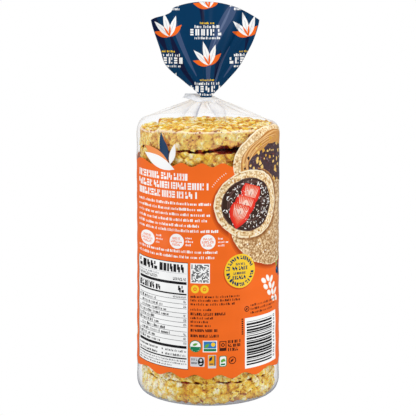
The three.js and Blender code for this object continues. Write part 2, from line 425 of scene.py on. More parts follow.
def smooth(x, low, high):
    t = np.clip((x - low) / (high - low), 0, 1)
    return t * t * (3 - 2 * t)


def leaning_wave(angle):
    return np.sin(angle + 0.6 * np.sin(angle))


def srgb(red, green, blue):
    """Linear colour of 8-bit sRGB values."""
    c = np.array([red, green, blue]) / 255
    return tuple(np.where(c <= 0.04045, c / 12.92, ((c + 0.055) / 1.055) ** 2.4))


def spline(values, share):
    """A smooth curve through evenly spaced values."""
    v = np.asarray(values, float)
    place = np.clip(share, 0, 1) * (len(v) - 1)
    i = np.minimum(place.astype(int), len(v) - 2)
    t = place - i
    p0, p1 = v[np.maximum(i - 1, 0)], v[i]
    p2, p3 = v[i + 1], v[np.minimum(i + 2, len(v) - 1)]
    m1, m2 = (p2 - p0) / 2, (p3 - p1) / 2
    return ((2 * p1 - 2 * p2 + m1 + m2) * t ** 3 + (3 * p2 - 3 * p1 - 2 * m1 - m2) * t ** 2
            + m1 * t + p1)


class Noise:
    """Smooth value noise on a repeating random lattice."""

    def __init__(self, seed, size=24):
        self.size = size
        self.lattice = np.random.default_rng(seed).random((size, size, size)) * 2 - 1

    def __call__(self, points, wavelength):
        p = np.asarray(points) / wavelength
        cell = np.floor(p).astype(int)
        f = p - cell
        f = f * f * (3 - 2 * f)
        total = 0
        for corner in np.ndindex(2, 2, 2):
            weight = np.where(corner, f, 1 - f).prod(axis=1)
            i, j, k = ((cell + corner) % self.size).T
            total = total + weight * self.lattice[i, j, k]
        return total


def add_piece(name, points, faces, material, normals=None, colours=None, values=None):
    """A mesh of the object: points in mm, values by vertex and colours by face."""
    mesh = bpy.data.meshes.new(name)
    mesh.from_pydata((points * MM).tolist(), [], faces)
    mesh.validate()
    mesh.polygons.foreach_set("use_smooth", [True] * len(mesh.polygons))
    for key, data in (values or {}).items():
        kind, field = ("FLOAT", "value") if data.ndim == 1 else ("FLOAT_VECTOR", "vector")
        attribute = mesh.attributes.new(key, kind, "POINT")
        attribute.data.foreach_set(field, data.astype(np.float32).ravel())
    for key, by_face in (colours or {}).items():
        attribute = mesh.color_attributes.new(key, "FLOAT_COLOR", "CORNER")
        counts = np.empty(len(mesh.polygons), int)
        mesh.polygons.foreach_get("loop_total", counts)
        rgba = np.ones((len(by_face), 4), np.float32)
        rgba[:, :3] = by_face
        attribute.data.foreach_set("color", np.repeat(rgba, counts, axis=0).ravel())
    if normals is not None:
        mesh.normals_split_custom_set_from_vertices(normals.tolist())
    mesh.materials.append(material)
    piece = bpy.data.objects.new(name, mesh)
    bpy.context.scene.collection.objects.link(piece)
    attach(piece, "root")
    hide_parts("rice_cake_bag")
    return piece


def on_circle(turn, radius, height, shift=0.0):
    return np.stack([shift + radius * np.sin(turn), -radius * np.cos(turn),
                     height + 0 * turn], axis=-1)


def tent_dips(turn, share, lip=CREASE_LIP):
    """How far the tent's pleats sink: at once on a fold's sharp side, then easing back."""
    total = 0 * turn
    for gather_turn, foot_turn, side, width, depth in TENT_CREASES:
        apart = turn - mix(foot_turn, gather_turn, share ** 2)
        away = side * (np.mod(apart + math.pi, TAU) - math.pi)
        total = total + depth * np.exp(-np.where(away > 0, away / width, -away / lip))
    return total


def header_fold(across):
    """Folds across the header: at each crease the film steps back or forward."""
    total = HEADER_FOLD_START
    for place, width, step in HEADER_CREASES:
        total = total + step * smooth(across, place - width / 2, place + width / 2)
    return total


def body_radius(height):
    share = height / SHOULDER_START
    waist = WAIST_DEPTH * np.sin(math.pi * share) ** 2
    return mix(BODY_RADIUS_LOW, BODY_RADIUS_HIGH, share) - waist


def cling(turn, height):
    """How far the film draws in between two cakes and over its faint upright wrinkles."""
    band = np.cos(TAU * (height - STACK_FOOT) / CAKE_PITCH)
    wrinkle = sum(part * leaning_wave(count * turn + sway * np.sin(height / length))
                  for count, sway, length, part in WRINKLES)
    return CLING_DEPTH * band + WRINKLE_DEPTH * wrinkle


def wall(turn, length, lift=0.0):
    """The body and shoulder by length up the film; on the body the length is the height."""
    angle = np.clip((length - SHOULDER_START) / SHOULDER_LENGTH, 0, 1) * math.pi / 2
    height = np.minimum(length, SHOULDER_START)
    radius = (body_radius(height) - (BODY_RADIUS_HIGH - TENT_RADIUS) * (1 - np.cos(angle))
              - cling(turn, height) * (1 - smooth(angle, 0.3, 1.3)) + lift)
    lean = -TENT_LEAN * np.sin(turn) * angle / (math.pi / 2)
    height = height + (TENT_FOOT - SHOULDER_START + lift) * np.sin(angle) + lean
    return on_circle(turn, radius, height)


def tent(turn, share):
    radius = mix(TENT_RADIUS, GATHER_RADIUS, share)
    pleat = TENT_PLEAT * smooth(share, 0, 0.5) * (1 - 0.45 * smooth(share, 0.6, 1))
    height = (mix(TENT_FOOT, GATHER_HEIGHT, share) + pleat * (TENT_PLEAT_LIFT - tent_dips(turn, share))
              - TENT_LEAN * np.sin(turn) * (1 - share) - TENT_TILT * np.cos(turn) * share ** 2)
    return on_circle(turn, radius, height, NECK_SHIFT * share)


def collar(turn, share):
    """From the gather out over the frill's edge and back to the neck."""
    reach = COLLAR_RADIUS - COLLAR_REACH * np.sin(turn) + COLLAR_RUFFLE * np.sin(5 * turn + 0.7)
    tilt = np.where(np.cos(turn) > 0, COLLAR_TILT, COLLAR_TILT_BEHIND) * np.cos(turn)
    height = COLLAR_HEIGHT - tilt - COLLAR_LEAN * np.sin(turn)
    frill = COLLAR_WAVE * np.sin(6 * turn + 1.1)
    gather = tent(turn, 1.0)
    edge = on_circle(turn, reach, height + frill, NECK_SHIFT)
    inner = on_circle(turn, mix(reach, NECK_RADIUS, 0.55), height + 0.9, NECK_SHIFT)
    neck = on_circle(turn, NECK_RADIUS, NECK_HEIGHT + 0.4, NECK_SHIFT)
    out, back, up = (np.clip(share * 3 - stage, 0, 1) for stage in range(3))
    return mix(mix(mix(gather, edge, out), inner, back), neck, up)


def header_across(p, share):
    flat = smooth(share, 0, 0.3)
    return mix(np.sin(p * math.pi / 2), p, flat)


def header_rise(across):
    arch = mix(HEADER_MIDDLE_HEIGHT, HEADER_SIDE_HEIGHT, np.abs(across) ** 2.1)
    return arch - HEADER_STEP * (1 - smooth(across, -0.64, -0.58)) * smooth(across, -1, -0.7)


def header_frame(share):
    width = spline(HEADER_HALF_WIDTHS, share)
    shift = NECK_SHIFT + HEADER_SHIFT * share - HEADER_BULGE * np.exp(-((share - 0.42) / 0.2) ** 2)
    return width, shift


def header(p, share, side):
    """p runs from the left edge (-1) to the right (1); side is -1 in front and 1 behind."""
    width, shift = header_frame(share)
    across = header_across(p, share)
    depth = mix(NECK_RADIUS, HEADER_HALF_DEPTH, share) + HEADER_BILLOW * np.sin(math.pi * share)
    spread = mix(0.5, 1, share)
    fold = HEADER_FOLD * spread * width / HEADER_HALF_WIDTHS[-1]
    return np.stack([
        shift + width * across,
        side * depth * np.cos(p * math.pi / 2) + fold * header_fold(across / spread),
        NECK_HEIGHT + header_rise(across) * share,
    ], axis=-1)


def header_inverse(x, z):
    """p and share of the header's front at a place in the picture plane."""
    share = np.clip((z - NECK_HEIGHT) / HEADER_MIDDLE_HEIGHT, 0, 1.2)
    for _ in range(12):
        width, shift = header_frame(share)
        across = (x - shift) / width
        share = np.clip((z - NECK_HEIGHT) / header_rise(np.clip(across, -1, 1)), 0, 1.2)
    p = across.copy()
    for _ in range(12):
        inside = np.clip(p, -1, 1)
        slope = mix(math.pi / 2 * np.cos(inside * math.pi / 2), 1, smooth(share, 0, 0.3))
        p = p - (header_across(inside, share) + (p - inside) - across) / np.maximum(slope, 0.4)
    return p, share


def normals_of(surface, a, b, step=1e-3):
    """Unit normals of a surface function by differences, pointing along da x db."""
    da = surface(a + step, b) - surface(a - step, b)
    db = surface(a, b + step) - surface(a, b - step)
    n = np.cross(da, db)
    return n / np.maximum(np.linalg.norm(n, axis=-1, keepdims=True), 1e-12)


def box(u0, v0, u1, v1, corner=0.0):
    """A rectangle, its corners rounded if corner is set."""
    u0, u1, v0, v1 = min(u0, u1), max(u0, u1), min(v0, v1), max(v0, v1)
    if not corner:
        return np.array([(u0, v0), (u1, v0), (u1, v1), (u0, v1)])
    corner = min(corner, 0.45 * (u1 - u0), 0.45 * (v1 - v0))
    points = []
    for cu, cv, start in ((u1 - corner, v0 + corner, -90), (u1 - corner, v1 - corner, 0),
                          (u0 + corner, v1 - corner, 90), (u0 + corner, v0 + corner, 180)):
        points.append(on_ellipse(cu, cv, corner, corner, np.radians(start + 30 * np.arange(4))))
    return np.concatenate(points)


def on_ellipse(cu, cv, a, b, t):
    """Places at the angles t of an upright ellipse about (cu, cv)."""
    return np.stack([cu + a * np.cos(t), cv + b * np.sin(t)], axis=1)


def turned(cu, cv, x, y, turn):
    """Places (x, y) turned about their origin, which lies at (cu, cv)."""
    c, s = math.cos(turn), math.sin(turn)
    return np.stack([cu + c * x - s * y, cv + s * x + c * y], axis=1)


def ellipse(cu, cv, a, b=None, turn=0.0):
    b = a if b is None else b
    count = int(np.clip(TAU * max(a, b) / 1.1, 10, 72))
    t = np.arange(count) * TAU / count
    return turned(cu, cv, a * np.cos(t), b * np.sin(t), turn)


def leaf(cu, cv, length, width, turn):
    """A pointed oval with its foot at (cu, cv)."""
    t = np.linspace(0, 1, 9)
    half = width / 2 * np.sin(math.pi * t ** 0.85)
    return turned(cu, cv, np.append(t, t[-2:0:-1]) * length, np.append(half, -half[-2:0:-1]), turn)


def slab(cu, cv, length, width, turn):
    """A narrow rectangle about (cu, cv)."""
    along, over = np.array([-1, 1, 1, -1]), np.array([-1, -1, 1, 1])
    return turned(cu, cv, along * length / 2, over * width / 2, turn)


def chip(cu, cv, size, rng):
    """A small irregular crumb of six corners."""
    t = np.sort(rng.random(6) * 0.7 + np.arange(6)) * TAU / 6
    r = size * rng.uniform(0.6, 1.15, 6)
    return on_ellipse(cu, cv, r, r, t)


def lumpy(cu, cv, a, b, rng, roughness, count=44):
    """An ellipse with an uneven, lumpy outline."""
    t = np.arange(count) * TAU / count
    r = 1 + roughness * rng.uniform(-1, 1, count)
    return on_ellipse(cu, cv, a * r, b * r, t)


def ribbon(line, half):
    """A strip along a path, with its half width at each of its points."""
    along = np.gradient(line, axis=0)
    across = np.stack([-along[:, 1], along[:, 0]], axis=1)
    across *= (half / np.maximum(np.linalg.norm(along, axis=1), 1e-9))[:, None]
    return np.concatenate([line + across, (line - across)[::-1]])


def stroke(line, width):
    """A ribbon that thins to its ends."""
    return ribbon(line, width / 2 * np.sin(np.linspace(0.12, math.pi - 0.12, len(line))))


def band(points, widths):
    """A ribbon along a smooth path through a few points, with a width at each of them."""
    share = np.linspace(0, 1, 6 * len(points))
    line = np.stack([spline(axis, share) for axis in zip(*points)], axis=1)
    return ribbon(line, spline(widths, share) / 2)


class Sheet:
    """Collects ink fields in painter's order."""

    def __init__(self, seed):
        self.fields = []
        self.rng = np.random.default_rng(seed)

    def put(self, ink, *polygons):
        for polygon in polygons:
            self.fields.append((np.asarray(polygon, float), ink))

    def marks(self, *rows):
        """Fields by rows of an ink, a shape's function and what it takes."""
        for ink, shape, *numbers in rows:
            self.put(ink, shape(*numbers))

    def tile(self, ink, u, v, w, h, weight):
        """One plain figure of bars or tiles, the size of a bold capital; returns its width."""
        stem = weight * h
        top = v + h
        kind = self.rng.integers(6)
        if kind == 0:
            self.put(ink, box(u, v, u + stem, top), box(u + w - stem, v, u + w, top))
        elif kind == 1:
            for level in (0.0, 0.5 - weight / 2, 1.0 - weight):
                self.put(ink, box(u, v + level * h, u + w, v + (level + weight) * h))
        elif kind == 2:
            self.put(ink, box(u, v, u + w, v + 0.42 * h), box(u, v + 0.58 * h, u + 0.45 * w, top))
        elif kind == 3:
            w = stem
            self.put(ink, box(u, v, u + w, top))
        elif kind == 4:
            self.put(ink, box(u, v + 0.3 * h, u + stem, top), box(u + w - stem, v, u + w, v + 0.7 * h))
        else:
            self.put(ink, box(u, v, u + stem, top), box(u + 1.6 * stem, v, u + w, v + stem),
                     box(u + 1.6 * stem, v + 0.58 * h, u + w, top))
        return w

    def tiles(self, ink, u, v, width, height, weight=0.21, gap=0.14):
        """A bold line of tiles in the place of words; weight and gap are shares of its height."""
        end = u + width
        while u < end - 0.5 * height:
            for _ in range(self.rng.integers(2, 8)):
                w = height * self.rng.uniform(0.5, 0.62)
                if u + w > end:
                    break
                u += self.tile(ink, u, v, w, height, weight) + height * gap
            u += height * 0.3

    def line(self, ink, u, v, width, height):
        """A line of fine ticks in the place of small text."""
        end = u + width
        tick = 0.3 * height
        while u < end - height:
            for _ in range(int(self.rng.integers(2, 9))):
                if u + tick > end:
                    break
                top = self.rng.choice((0.7, 0.78, 1.0))
                self.put(ink, box(u, v, u + tick * self.rng.choice((1.0, 1.0, 1.8)), v + height * top))
                u += 0.68 * height
            u += height * 0.42

    def lines(self, ink, left, height, rows, weight=0.0):
        """Lines from one left end by foot and width, of bold tiles where a weight is given."""
        for v, width in rows:
            if weight:
                self.tiles(ink, left, v, width, height, weight)
            else:
                self.line(ink, left, v, width, height)

    def centred(self, ink, u, v, width, height, bold=False):
        if bold:
            self.tiles(ink, u - width / 2, v, width, height, 0.26, 0.3)
        else:
            self.line(ink, u - width / 2, v, width, height)

    def bent_tiles(self, ink, cu, cv, radius, middle, width, height, weight=0.3):
        """A bold line bent round a circle, its middle at an angle; feet point to the centre."""
        flat = Sheet(int(self.rng.integers(1000)))
        flat.tiles(ink, -width / 2, 0, width, height, weight)
        for polygon, field_ink in flat.fields:
            reach = radius + polygon[:, 1]
            self.put(field_ink, on_ellipse(cu, cv, reach, reach, middle - polygon[:, 0] / radius))

    def crumb(self, u, v, inks, low, high):
        ink = inks[self.rng.integers(len(inks))]
        self.put(ink, chip(u, v, self.rng.uniform(low, high), self.rng))

    def scatter(self, cu, cv, a, b, count, inks, low, high, inner=0.0, flakes=False):
        """Crumbs or thin flakes over an ellipse, outside the share inner of its reach."""
        rng = self.rng
        for _ in range(count):
            t, r = rng.random() * TAU, math.sqrt(rng.uniform(inner ** 2, 1))
            u, v = cu + a * r * math.cos(t), cv + b * r * math.sin(t)
            size = rng.uniform(low, high)
            if flakes:
                shape = slab(u, v, 2.4 * size, 0.7 * size, rng.random() * TAU)
            else:
                shape = chip(u, v, size, rng)
            self.put(inks[rng.integers(len(inks))], shape)

    def swirls(self, cu, cv, axes, shrink, count, start, end, inks, widths, points, wobble=0.0):
        """Strokes along ever smaller arcs; start and end hold an angle and its step by arc."""
        for k in range(count):
            t = np.linspace(start[0] + start[1] * k, end[0] + end[1] * k, points)
            wave = 1 + wobble * np.sin(5 * t + k)
            a, b = ((axis - less * k) * wave for axis, less in zip(axes, shrink))
            self.put(inks[k % len(inks)], stroke(on_ellipse(cu, cv, a, b, t), widths[k % len(widths)]))

    def spread_left(self, start):
        """Respaces the fields from number start on where they lie left of the table's right edge,
        so that they look evenly spaced from in front, as the print in the photo does."""
        low, high = (LABEL_RADIUS * math.sin(u / LABEL_RADIUS) for u in (TABLE_LEFT, TABLE_RIGHT))
        for polygon, _ in self.fields[start:]:
            share = (polygon[:, 0] - TABLE_LEFT) / (TABLE_RIGHT - TABLE_LEFT)
            seen = np.clip(mix(low, high, share) / LABEL_RADIUS, -1, 1)
            polygon[:, 0] = np.where(share < 1, LABEL_RADIUS * np.arcsin(seen), polygon[:, 0])


def soft_shadow(sheet, cu, cv, a, b):
    for spread, ink in zip((1.3, 0.8, 0.3), SHADOW_INKS):
        sheet.put(ink, ellipse(cu - 0.5 - 0.4 * spread, cv - 0.9 - 0.7 * spread, a + spread, b + spread))


def pictured_cake(sheet, cu, cv, a, b, kind="puff"):
    """A rice cake seen from above with a lumpy pale rim; kind is its ink."""
    rng = sheet.rng
    sheet.put(kind + "_pale", lumpy(cu, cv, a, b, rng, 0.012, 64))
    sheet.put(kind, lumpy(cu, cv, a - 0.9, b - 0.9, rng, 0.014, 64))
    inks = (kind + "_pale", kind + "_pale", kind + "_deep")
    for _ in range(int(2.4 * (a + b))):
        t, inset = rng.random() * TAU, rng.uniform(0.5, 5.4)
        sheet.crumb(cu + (a - inset) * math.cos(t), cv + (b - inset) * math.sin(t), inks, 0.5, 1.1)


def fruit_slice(sheet, cu, cv, length, width, turn):
    """A red fruit cut lengthwise, its tip at (cu, cv): bright rim, flesh with pale rays, a slit."""
    def placed(along, over):
        return turned(cu, cv, along * length, over * width, turn)

    t = np.linspace(0, 1, 14)
    for ink, inset in (("berry", 0.0), ("berry_light", 0.09), ("berry_mid", 0.17)):
        half = (0.5 - inset) * np.sin(math.pi * 0.7 * t)
        along = inset * 1.2 + t * (1 - 1.35 * inset)
        sheet.put(ink, placed(np.append(along, along[::-1]), np.append(-half, half[::-1])))
    for k in range(-4, 5):
        ray = np.linspace(0.34 + 0.03 * abs(k), 0.95, 6)
        sheet.put("berry_pale", stroke(placed(ray, 0.092 * k * (0.35 + 0.65 * ray)), 0.6))
    core = np.arange(14) * TAU / 14
    sheet.put("berry_pale", placed(0.72 + 0.13 * np.cos(core), 0.13 * np.sin(core)))
    slit = placed(np.array([0.66]), np.zeros(1))[0]
    sheet.put("berry_dark", slab(*slit, 2.6, 0.5, turn))


def back_panel(sheet):
    """The panel that faces the camera: text lines, seals, table, pictures, badges and barcode."""
    start = len(sheet.fields)
    sheet.lines("white", PANEL_TEXT_LEFT, HEAD_HEIGHT, HEAD_LINES, HEAD_WEIGHT)
    sheet.lines("white", PANEL_TEXT_LEFT, TEXT_HEIGHT, STORY_LINES)
    seals(sheet)
    sheet.lines("white", PANEL_TEXT_LEFT, TEXT_HEIGHT, LAST_LINES)
    facts_table(sheet)
    sheet.spread_left(start)
    soft_shadow(sheet, *CHOCOLATE_CAKE)
    soft_shadow(sheet, *BARE_CAKE)
    spread_cake(sheet)
    bare_cake(sheet)
    chocolate_cake(sheet)
    yellow_disc(sheet)
    ear_and_berries(sheet)
    small_print(sheet)
    badges(sheet)
    barcode(sheet)


def seals(sheet):
    for cu, cv, wide in SEALS:
        sheet.put("white", ellipse(cu, cv, SEAL_RADIUS * wide, SEAL_RADIUS))
        for rise, half in SEAL_LINES:
            sheet.tiles("orange", cu - half * wide, cv + rise - 0.4, 2 * half * wide, 1.7)
    for left in SEAL_TEXT_LEFTS:
        sheet.lines("white", left, 1.4, SEAL_TEXT)


def facts_table(sheet):
    """A white table with a dark outline, headed, ruled and with values at the right."""
    left, right = TABLE_LEFT + TABLE_MARGIN, TABLE_RIGHT - TABLE_MARGIN
    sheet.marks(("black", box, TABLE_LEFT, TABLE_LOW, TABLE_RIGHT, TABLE_HIGH),
                ("white", box, TABLE_LEFT + TABLE_OUTLINE, TABLE_LOW + TABLE_OUTLINE,
                 TABLE_RIGHT - TABLE_OUTLINE, TABLE_HIGH - TABLE_OUTLINE))

    def rule(low, high, ink="black"):
        sheet.put(ink, box(left, low, right, high))

    def value(v, width, height, weight=0.21):
        sheet.tiles("black", right - width, v, width, height, weight)

    sheet.tiles("black", left, 96.0, right - left, 5.6, 0.34)
    rule(95.2, 95.4, "grey")
    sheet.line("grey", left, 92.9, 21, 1.5)
    sheet.tiles("black", left, 90.2, 19, 2.1)
    value(90.2, 14, 2.1)
    rule(87.5, 89.4)
    sheet.line("black", left, 85.7, 17, 1.2)
    sheet.tiles("black", left, 81.9, 24, 3.8, 0.32)
    value(81.9, 8.6, 4.8, 0.34)
    rule(80.1, 81.2)
    value(77.9, 14, 1.3)
    for row in range(TABLE_ROWS):
        v = ROW_TOP - ROW_STEP * row
        indent = 2.6 if row in INDENTED_ROWS else 0.0
        rule(v, v + 0.32, "grey_dark")
        sheet.line("black", left + indent, v - 2.6, 17 + 4.5 * ((row * 5) % 4), 2.0)
        if row not in ROWS_WITHOUT_VALUE:
            value(v - 2.45, 3.2, 1.7)
    rule(41.9, 43.8)
    for v in (39.1, 36.0):
        sheet.line("black", left, v, 20, 1.7)
        sheet.put("black", ellipse(left + 24.0, v + 0.8, 0.7))
        sheet.line("black", left + 27.2, v, 21.5, 1.7)
    rule(34.2, 35.2)
    sheet.lines("grey_dark", left, 1.2, ((32.2, 48.0), (30.3, 48.5), (28.4, 34.0)))


def spread_cake(sheet):
    """A pictured cake with a caramel spread, dark jam and crumbs."""
    cu, cv, a, b = SPREAD_CAKE
    pictured_cake(sheet, cu, cv, a, b)
    sheet.put("caramel", lumpy(cu + 0.8, cv - 0.8, 34.6, 22.0, sheet.rng, 0.02))
    sheet.swirls(cu + 0.8, cv - 0.8, (34.0, 21.4), (0.95, 0.7), 9, (1.2, 0.08), (3.6, 0.1),
                 ("caramel_dark", "caramel_pale"), (0.6, 1.1), 18, 0.02)
    jam = (cu + 0.2, cv - 4.4, 28.0, 17.6)
    sheet.put("jam", lumpy(*jam, sheet.rng, 0.06, 34))
    sheet.scatter(*jam, 210, ("jam_light", "jam_light", "jam_deep", "cocoa"), 0.35, 0.85)
    sheet.scatter(*jam, 40, ("jam_red",), 0.3, 0.7)
    sheet.scatter(*jam, 60, ("crumb", "crumb", "crumb_deep"), 0.8, 2.0)
    sheet.scatter(cu, cv - 3.0, 32.0, 20.5, 20, ("cocoa", "crumb", "crumb_deep"), 1.0, 1.8, 0.92)


def bare_cake(sheet):
    cu, cv, a, b = BARE_CAKE
    pictured_cake(sheet, cu, cv, a, b, "oat")
    sheet.scatter(cu, cv, 39.4, 27.4, 330, ("oat_pale", "cream", "oat_deep", "oat_dark"), 0.45, 1.0)


def chocolate_cake(sheet):
    """A pictured cake with chocolate, flakes and sliced fruit, and its shade on the two behind."""
    cu, cv, a, b = CHOCOLATE_CAKE
    rng = sheet.rng
    shade = np.linspace(-1.95, 1.35, 30)
    for ink, reach, width in (("oat_deep", 1.3, 3.4), ("oat_dark", 0.8, 2.4)):
        sheet.put(ink, stroke(on_ellipse(cu, cv, a + reach, b + reach, shade), width))
    pictured_cake(sheet, cu, cv, a, b)
    sheet.scatter(cu, cv, 26.2, 22.4, 110, ("puff_pale", "cream", "puff_deep"), 0.5, 1.1, 0.8)
    cu, cv = cu - 1.2, cv - 0.3
    sheet.put("cocoa_light", lumpy(cu, cv, 21.4, 18.6, rng, 0.012))
    sheet.put("cocoa", lumpy(cu, cv, 20.8, 18.0, rng, 0.014))
    sheet.swirls(cu, cv, (19.0, 16.4), (1.1, 1.0), 9, (0.4, 0.8), (1.9, 0.8), ("cocoa_light",), (0.9,), 12)
    flakes = ("cream", "white", "white", "cocoa_grey")
    sheet.scatter(cu, cv, 19.8, 17.2, 300, flakes, 0.35, 0.8, 0.1, True)
    for tip_u, tip_v, length in FRUIT_SLICES:
        fruit_slice(sheet, tip_u, tip_v, length, FRUIT_WIDTH, FRUIT_TURN)
    sheet.scatter(cu - 4.0, cv, 8.5, 12.5, 36, ("white", "cream"), 0.25, 0.5, 0.0, True)
    for k in range(9):
        t = 2.62 - 0.055 * k
        sheet.put("cream", slab(cu + 31.5 * math.cos(t), cv + 27.5 * math.sin(t), 1.0, 0.45, t))


def yellow_disc(sheet):
    cu, cv, radius = YELLOW_DISC
    sheet.marks(("orange_shade", ellipse, cu - 0.5, cv - 0.8, radius + 0.2),
                ("yellow", ellipse, cu, cv, radius))
    for middle in (math.pi / 2, -math.pi / 2):
        sheet.bent_tiles("navy", cu, cv, 8.3, middle, 25, 2.5)
    for rise, half, height in DISC_LINES:
        sheet.tiles("navy", cu - half, cv + rise, 2 * half, height, 0.3)


def ear_and_berries(sheet):
    for k, (u, v) in enumerate(EAR_GRAINS):
        turn = EAR_TURNS[k % 3]
        sheet.marks(("cream", ellipse, u, v, 3.0, 1.75, turn),
                    ("white", ellipse, u - 0.2, v + 0.2, 2.3, 1.2, turn))
    for u, v, ink in BERRIES:
        sheet.marks((ink, ellipse, u, v, 3.0), ("blue", ellipse, u - 0.8, v + 0.9, 0.9))
    sheet.marks(("leaf", leaf, 64.5, 93.5, 5.6, 2.4, 1.9), ("leaf", leaf, 68.0, 96.5, 5.0, 2.2, 0.9))


def small_print(sheet):
    """A tile of dark cells, two yellow discs and the dark lines below them."""
    u0, u1, v0, v1 = CELL_TILE
    sheet.put("white", box(u0, v0, u1, v1))
    du, dv = ((length - 2 * CELL_EDGE) / CELL_COUNT for length in (u1 - u0, v1 - v0))
    for i, j in np.ndindex(CELL_COUNT, CELL_COUNT):
        if sheet.rng.random() < DARK_CELLS:
            u, v = u0 + CELL_EDGE + i * du, v0 + CELL_EDGE + j * dv
            ink = ("black", "grey_dark")[sheet.rng.integers(2)]
            sheet.put(ink, box(u, v, u + du * CELL_FILL, v + dv * CELL_FILL))
    for u in TILE_DISCS:
        for ink, radius in TILE_DISC_RINGS:
            sheet.put(ink, ellipse(u, TILE_DISC_HEIGHT, radius))
    for v, width, bold in SMALL_PRINT:
        height, weight = (2.0, 0.34) if bold else (1.7, 0.0)
        sheet.lines("brown", SMALL_PRINT_LEFT, height, ((v, width),), weight)


def badges(sheet):
    """Plain seals: a green and white disc, a three coloured tile, tiles and rings."""
    sheet.marks(("green", ellipse, -8.8, 44.3, 4.3), ("white", ellipse, -8.8, 44.3, 3.7))
    sheet.put("green", BADGE_GROUND)
    sheet.marks(
        ("leaf", leaf, -10.8, 44.8, 4.2, 1.8, 0.35),
        ("white", box, -3.6, 40.2, 6.3, 48.4), ("blue", box, -3.0, 42.9, 5.7, 47.8),
        ("green", box, -3.0, 40.8, 5.7, 42.6), ("leaf", leaf, -2.4, 43.2, 4.6, 2.2, 0.75),
        ("yellow", ellipse, 3.6, 45.6, 1.5),
        ("brown", box, 7.9, 40.8, 12.9, 47.8), ("orange", box, 8.5, 43.0, 12.3, 47.2),
        ("brown", ellipse, 10.4, 45.1, 1.4), ("orange", ellipse, 10.4, 45.1, 0.7))
    sheet.lines("brown", 14.0, 2.2, ((46.0, 11.0), (43.2, 9.8), (40.4, 8.4)), 0.34)
    sheet.put("silver", box(-12.4, 29.6, -2.4, 36.6, 0.6))
    sheet.lines("grey_dark", -11.8, 1.5, ((34.0, 4.8), (31.4, 4.4)), 0.21)
    sheet.marks(
        ("black", ellipse, -4.9, 33.1, 2.1, 3.2), ("silver", ellipse, -4.9, 34.4, 0.9, 1.1),
        ("silver", leaf, -6.2, 31.4, 2.6, 1.1, 0.3),
        ("silver", box, 0.0, 28.6, 5.6, 38.2), ("ochre", box, 0.4, 30.4, 5.2, 37.8),
        ("navy", box, 4.4, 30.4, 5.2, 37.8), ("navy", leaf, 1.0, 33.6, 4.0, 1.9, 1.1),
        ("navy", box, 1.0, 31.2, 3.8, 32.0),
        ("green", box, 7.7, 29.4, 13.1, 37.4, 1.3), ("white", box, 8.2, 29.9, 12.6, 36.9, 1.1),
        ("leaf", leaf, 8.9, 32.6, 3.9, 2.2, 0.8), ("leaf", leaf, 12.1, 33.0, 2.6, 1.5, 2.2),
        ("green", box, 8.8, 30.5, 12.0, 31.8),
        ("brown", ellipse, 17.2, 33.6, 2.8), ("orange", ellipse, 17.2, 33.6, 2.2),
        ("brown", leaf, 15.8, 32.4, 3.4, 1.5, 0.8))


def barcode(sheet):
    """A white box of bars stacked up the bag, with small marks above and beside it."""
    u0, u1, v0, v1 = BARCODE
    sheet.put("white", box(u0, v0, u1, v1))
    v = v0 + 2.2
    while v < v1 - 2.4:
        thick = BAR_STEPS[sheet.rng.integers(len(BAR_STEPS))]
        sheet.put("black", box(u0 + 1.4, v, u1 - 6.6, v + thick))
        v += thick + BAR_GAPS[sheet.rng.integers(len(BAR_GAPS))]
    for k in range(12):
        foot, w = v0 + 3.0 + 2.65 * k, sheet.rng.uniform(1.2, 2.0)
        sheet.marks(("grey_dark", box, u1 - 4.8, foot, u1 - 2.6, foot + w, 0.3),
                    ("white", box, u1 - 4.2, foot + 0.5, u1 - 3.2, foot + w - 0.5))
    sheet.marks(("brown", ellipse, 28.4, 69.2, 2.1), ("orange", ellipse, 28.4, 69.2, 1.5),
                ("brown", leaf, 27.4, 68.2, 2.6, 1.2, 0.8))
    sheet.lines("brown", 31.6, 1.7, ((70.6, 31.0), (67.9, 28.0), (65.2, 24.0)))
    for k in range(8):
        sheet.put("brown", box(24.2, 51.2 + 1.5 * k, 25.5, 52.2 + 1.5 * k))


def front_panel(sheet):
    """The far side, which the photo doesn't show: a plain plaque, a pictured cake and sprigs."""
    for ink, a, b in PLAQUE_OVALS:
        sheet.put(ink, ellipse(FAR_MIDDLE, PLAQUE_HEIGHT, a, b))
    sprig(sheet, FAR_MIDDLE, PLAQUE_HEIGHT - PLAQUE_SPRIG_DROP, PLAQUE_SPRIG_SIZE, math.pi / 2)
    for row in FAR_UPPER_LINES:
        sheet.centred("white", FAR_MIDDLE, *row)
    far_cake(sheet, FAR_MIDDLE, FAR_CAKE_HEIGHT)
    for side in (-1, 1):
        for k in range(7):
            turn = math.pi / 2 + side * (0.9 - 0.12 * k)
            foot = (FAR_MIDDLE + side * (46 + 0.4 * k), 62.0 + 6.0 * k)
            sheet.put("white" if k % 2 else "yellow",
                      leaf(*foot, 9.0, 3.2, turn), leaf(*foot, 9.0, 3.2, math.pi - turn))
    for u in FAR_DISCS:
        sheet.put("yellow", ellipse(u, FAR_DISC_HEIGHT, FAR_DISC_RADIUS))
        for row in FAR_DISC_LINES:
            sheet.centred("navy", u, *row)
    for row in FAR_LOWER_LINES:
        sheet.centred("white", FAR_MIDDLE, *row)
    side_panel(sheet)


def far_cake(sheet, cu, cv):
    pictured_cake(sheet, cu, cv, 34.0, 28.5)
    sheet.swirls(cu, cv, (31.0, 25.6), (3.4, 2.9), 8, (0.3, 0.7), (2.2, 0.7), ("oat_pale",), (0.7,), 14)
    for _ in range(70):
        t, r = sheet.rng.random() * TAU, sheet.rng.random() ** 0.5
        sheet.crumb(cu + 31 * r * math.cos(t), cv + 25.6 * r * math.sin(t),
                    ("crumb", "caramel", "caramel_dark"), 0.5, 1.3)


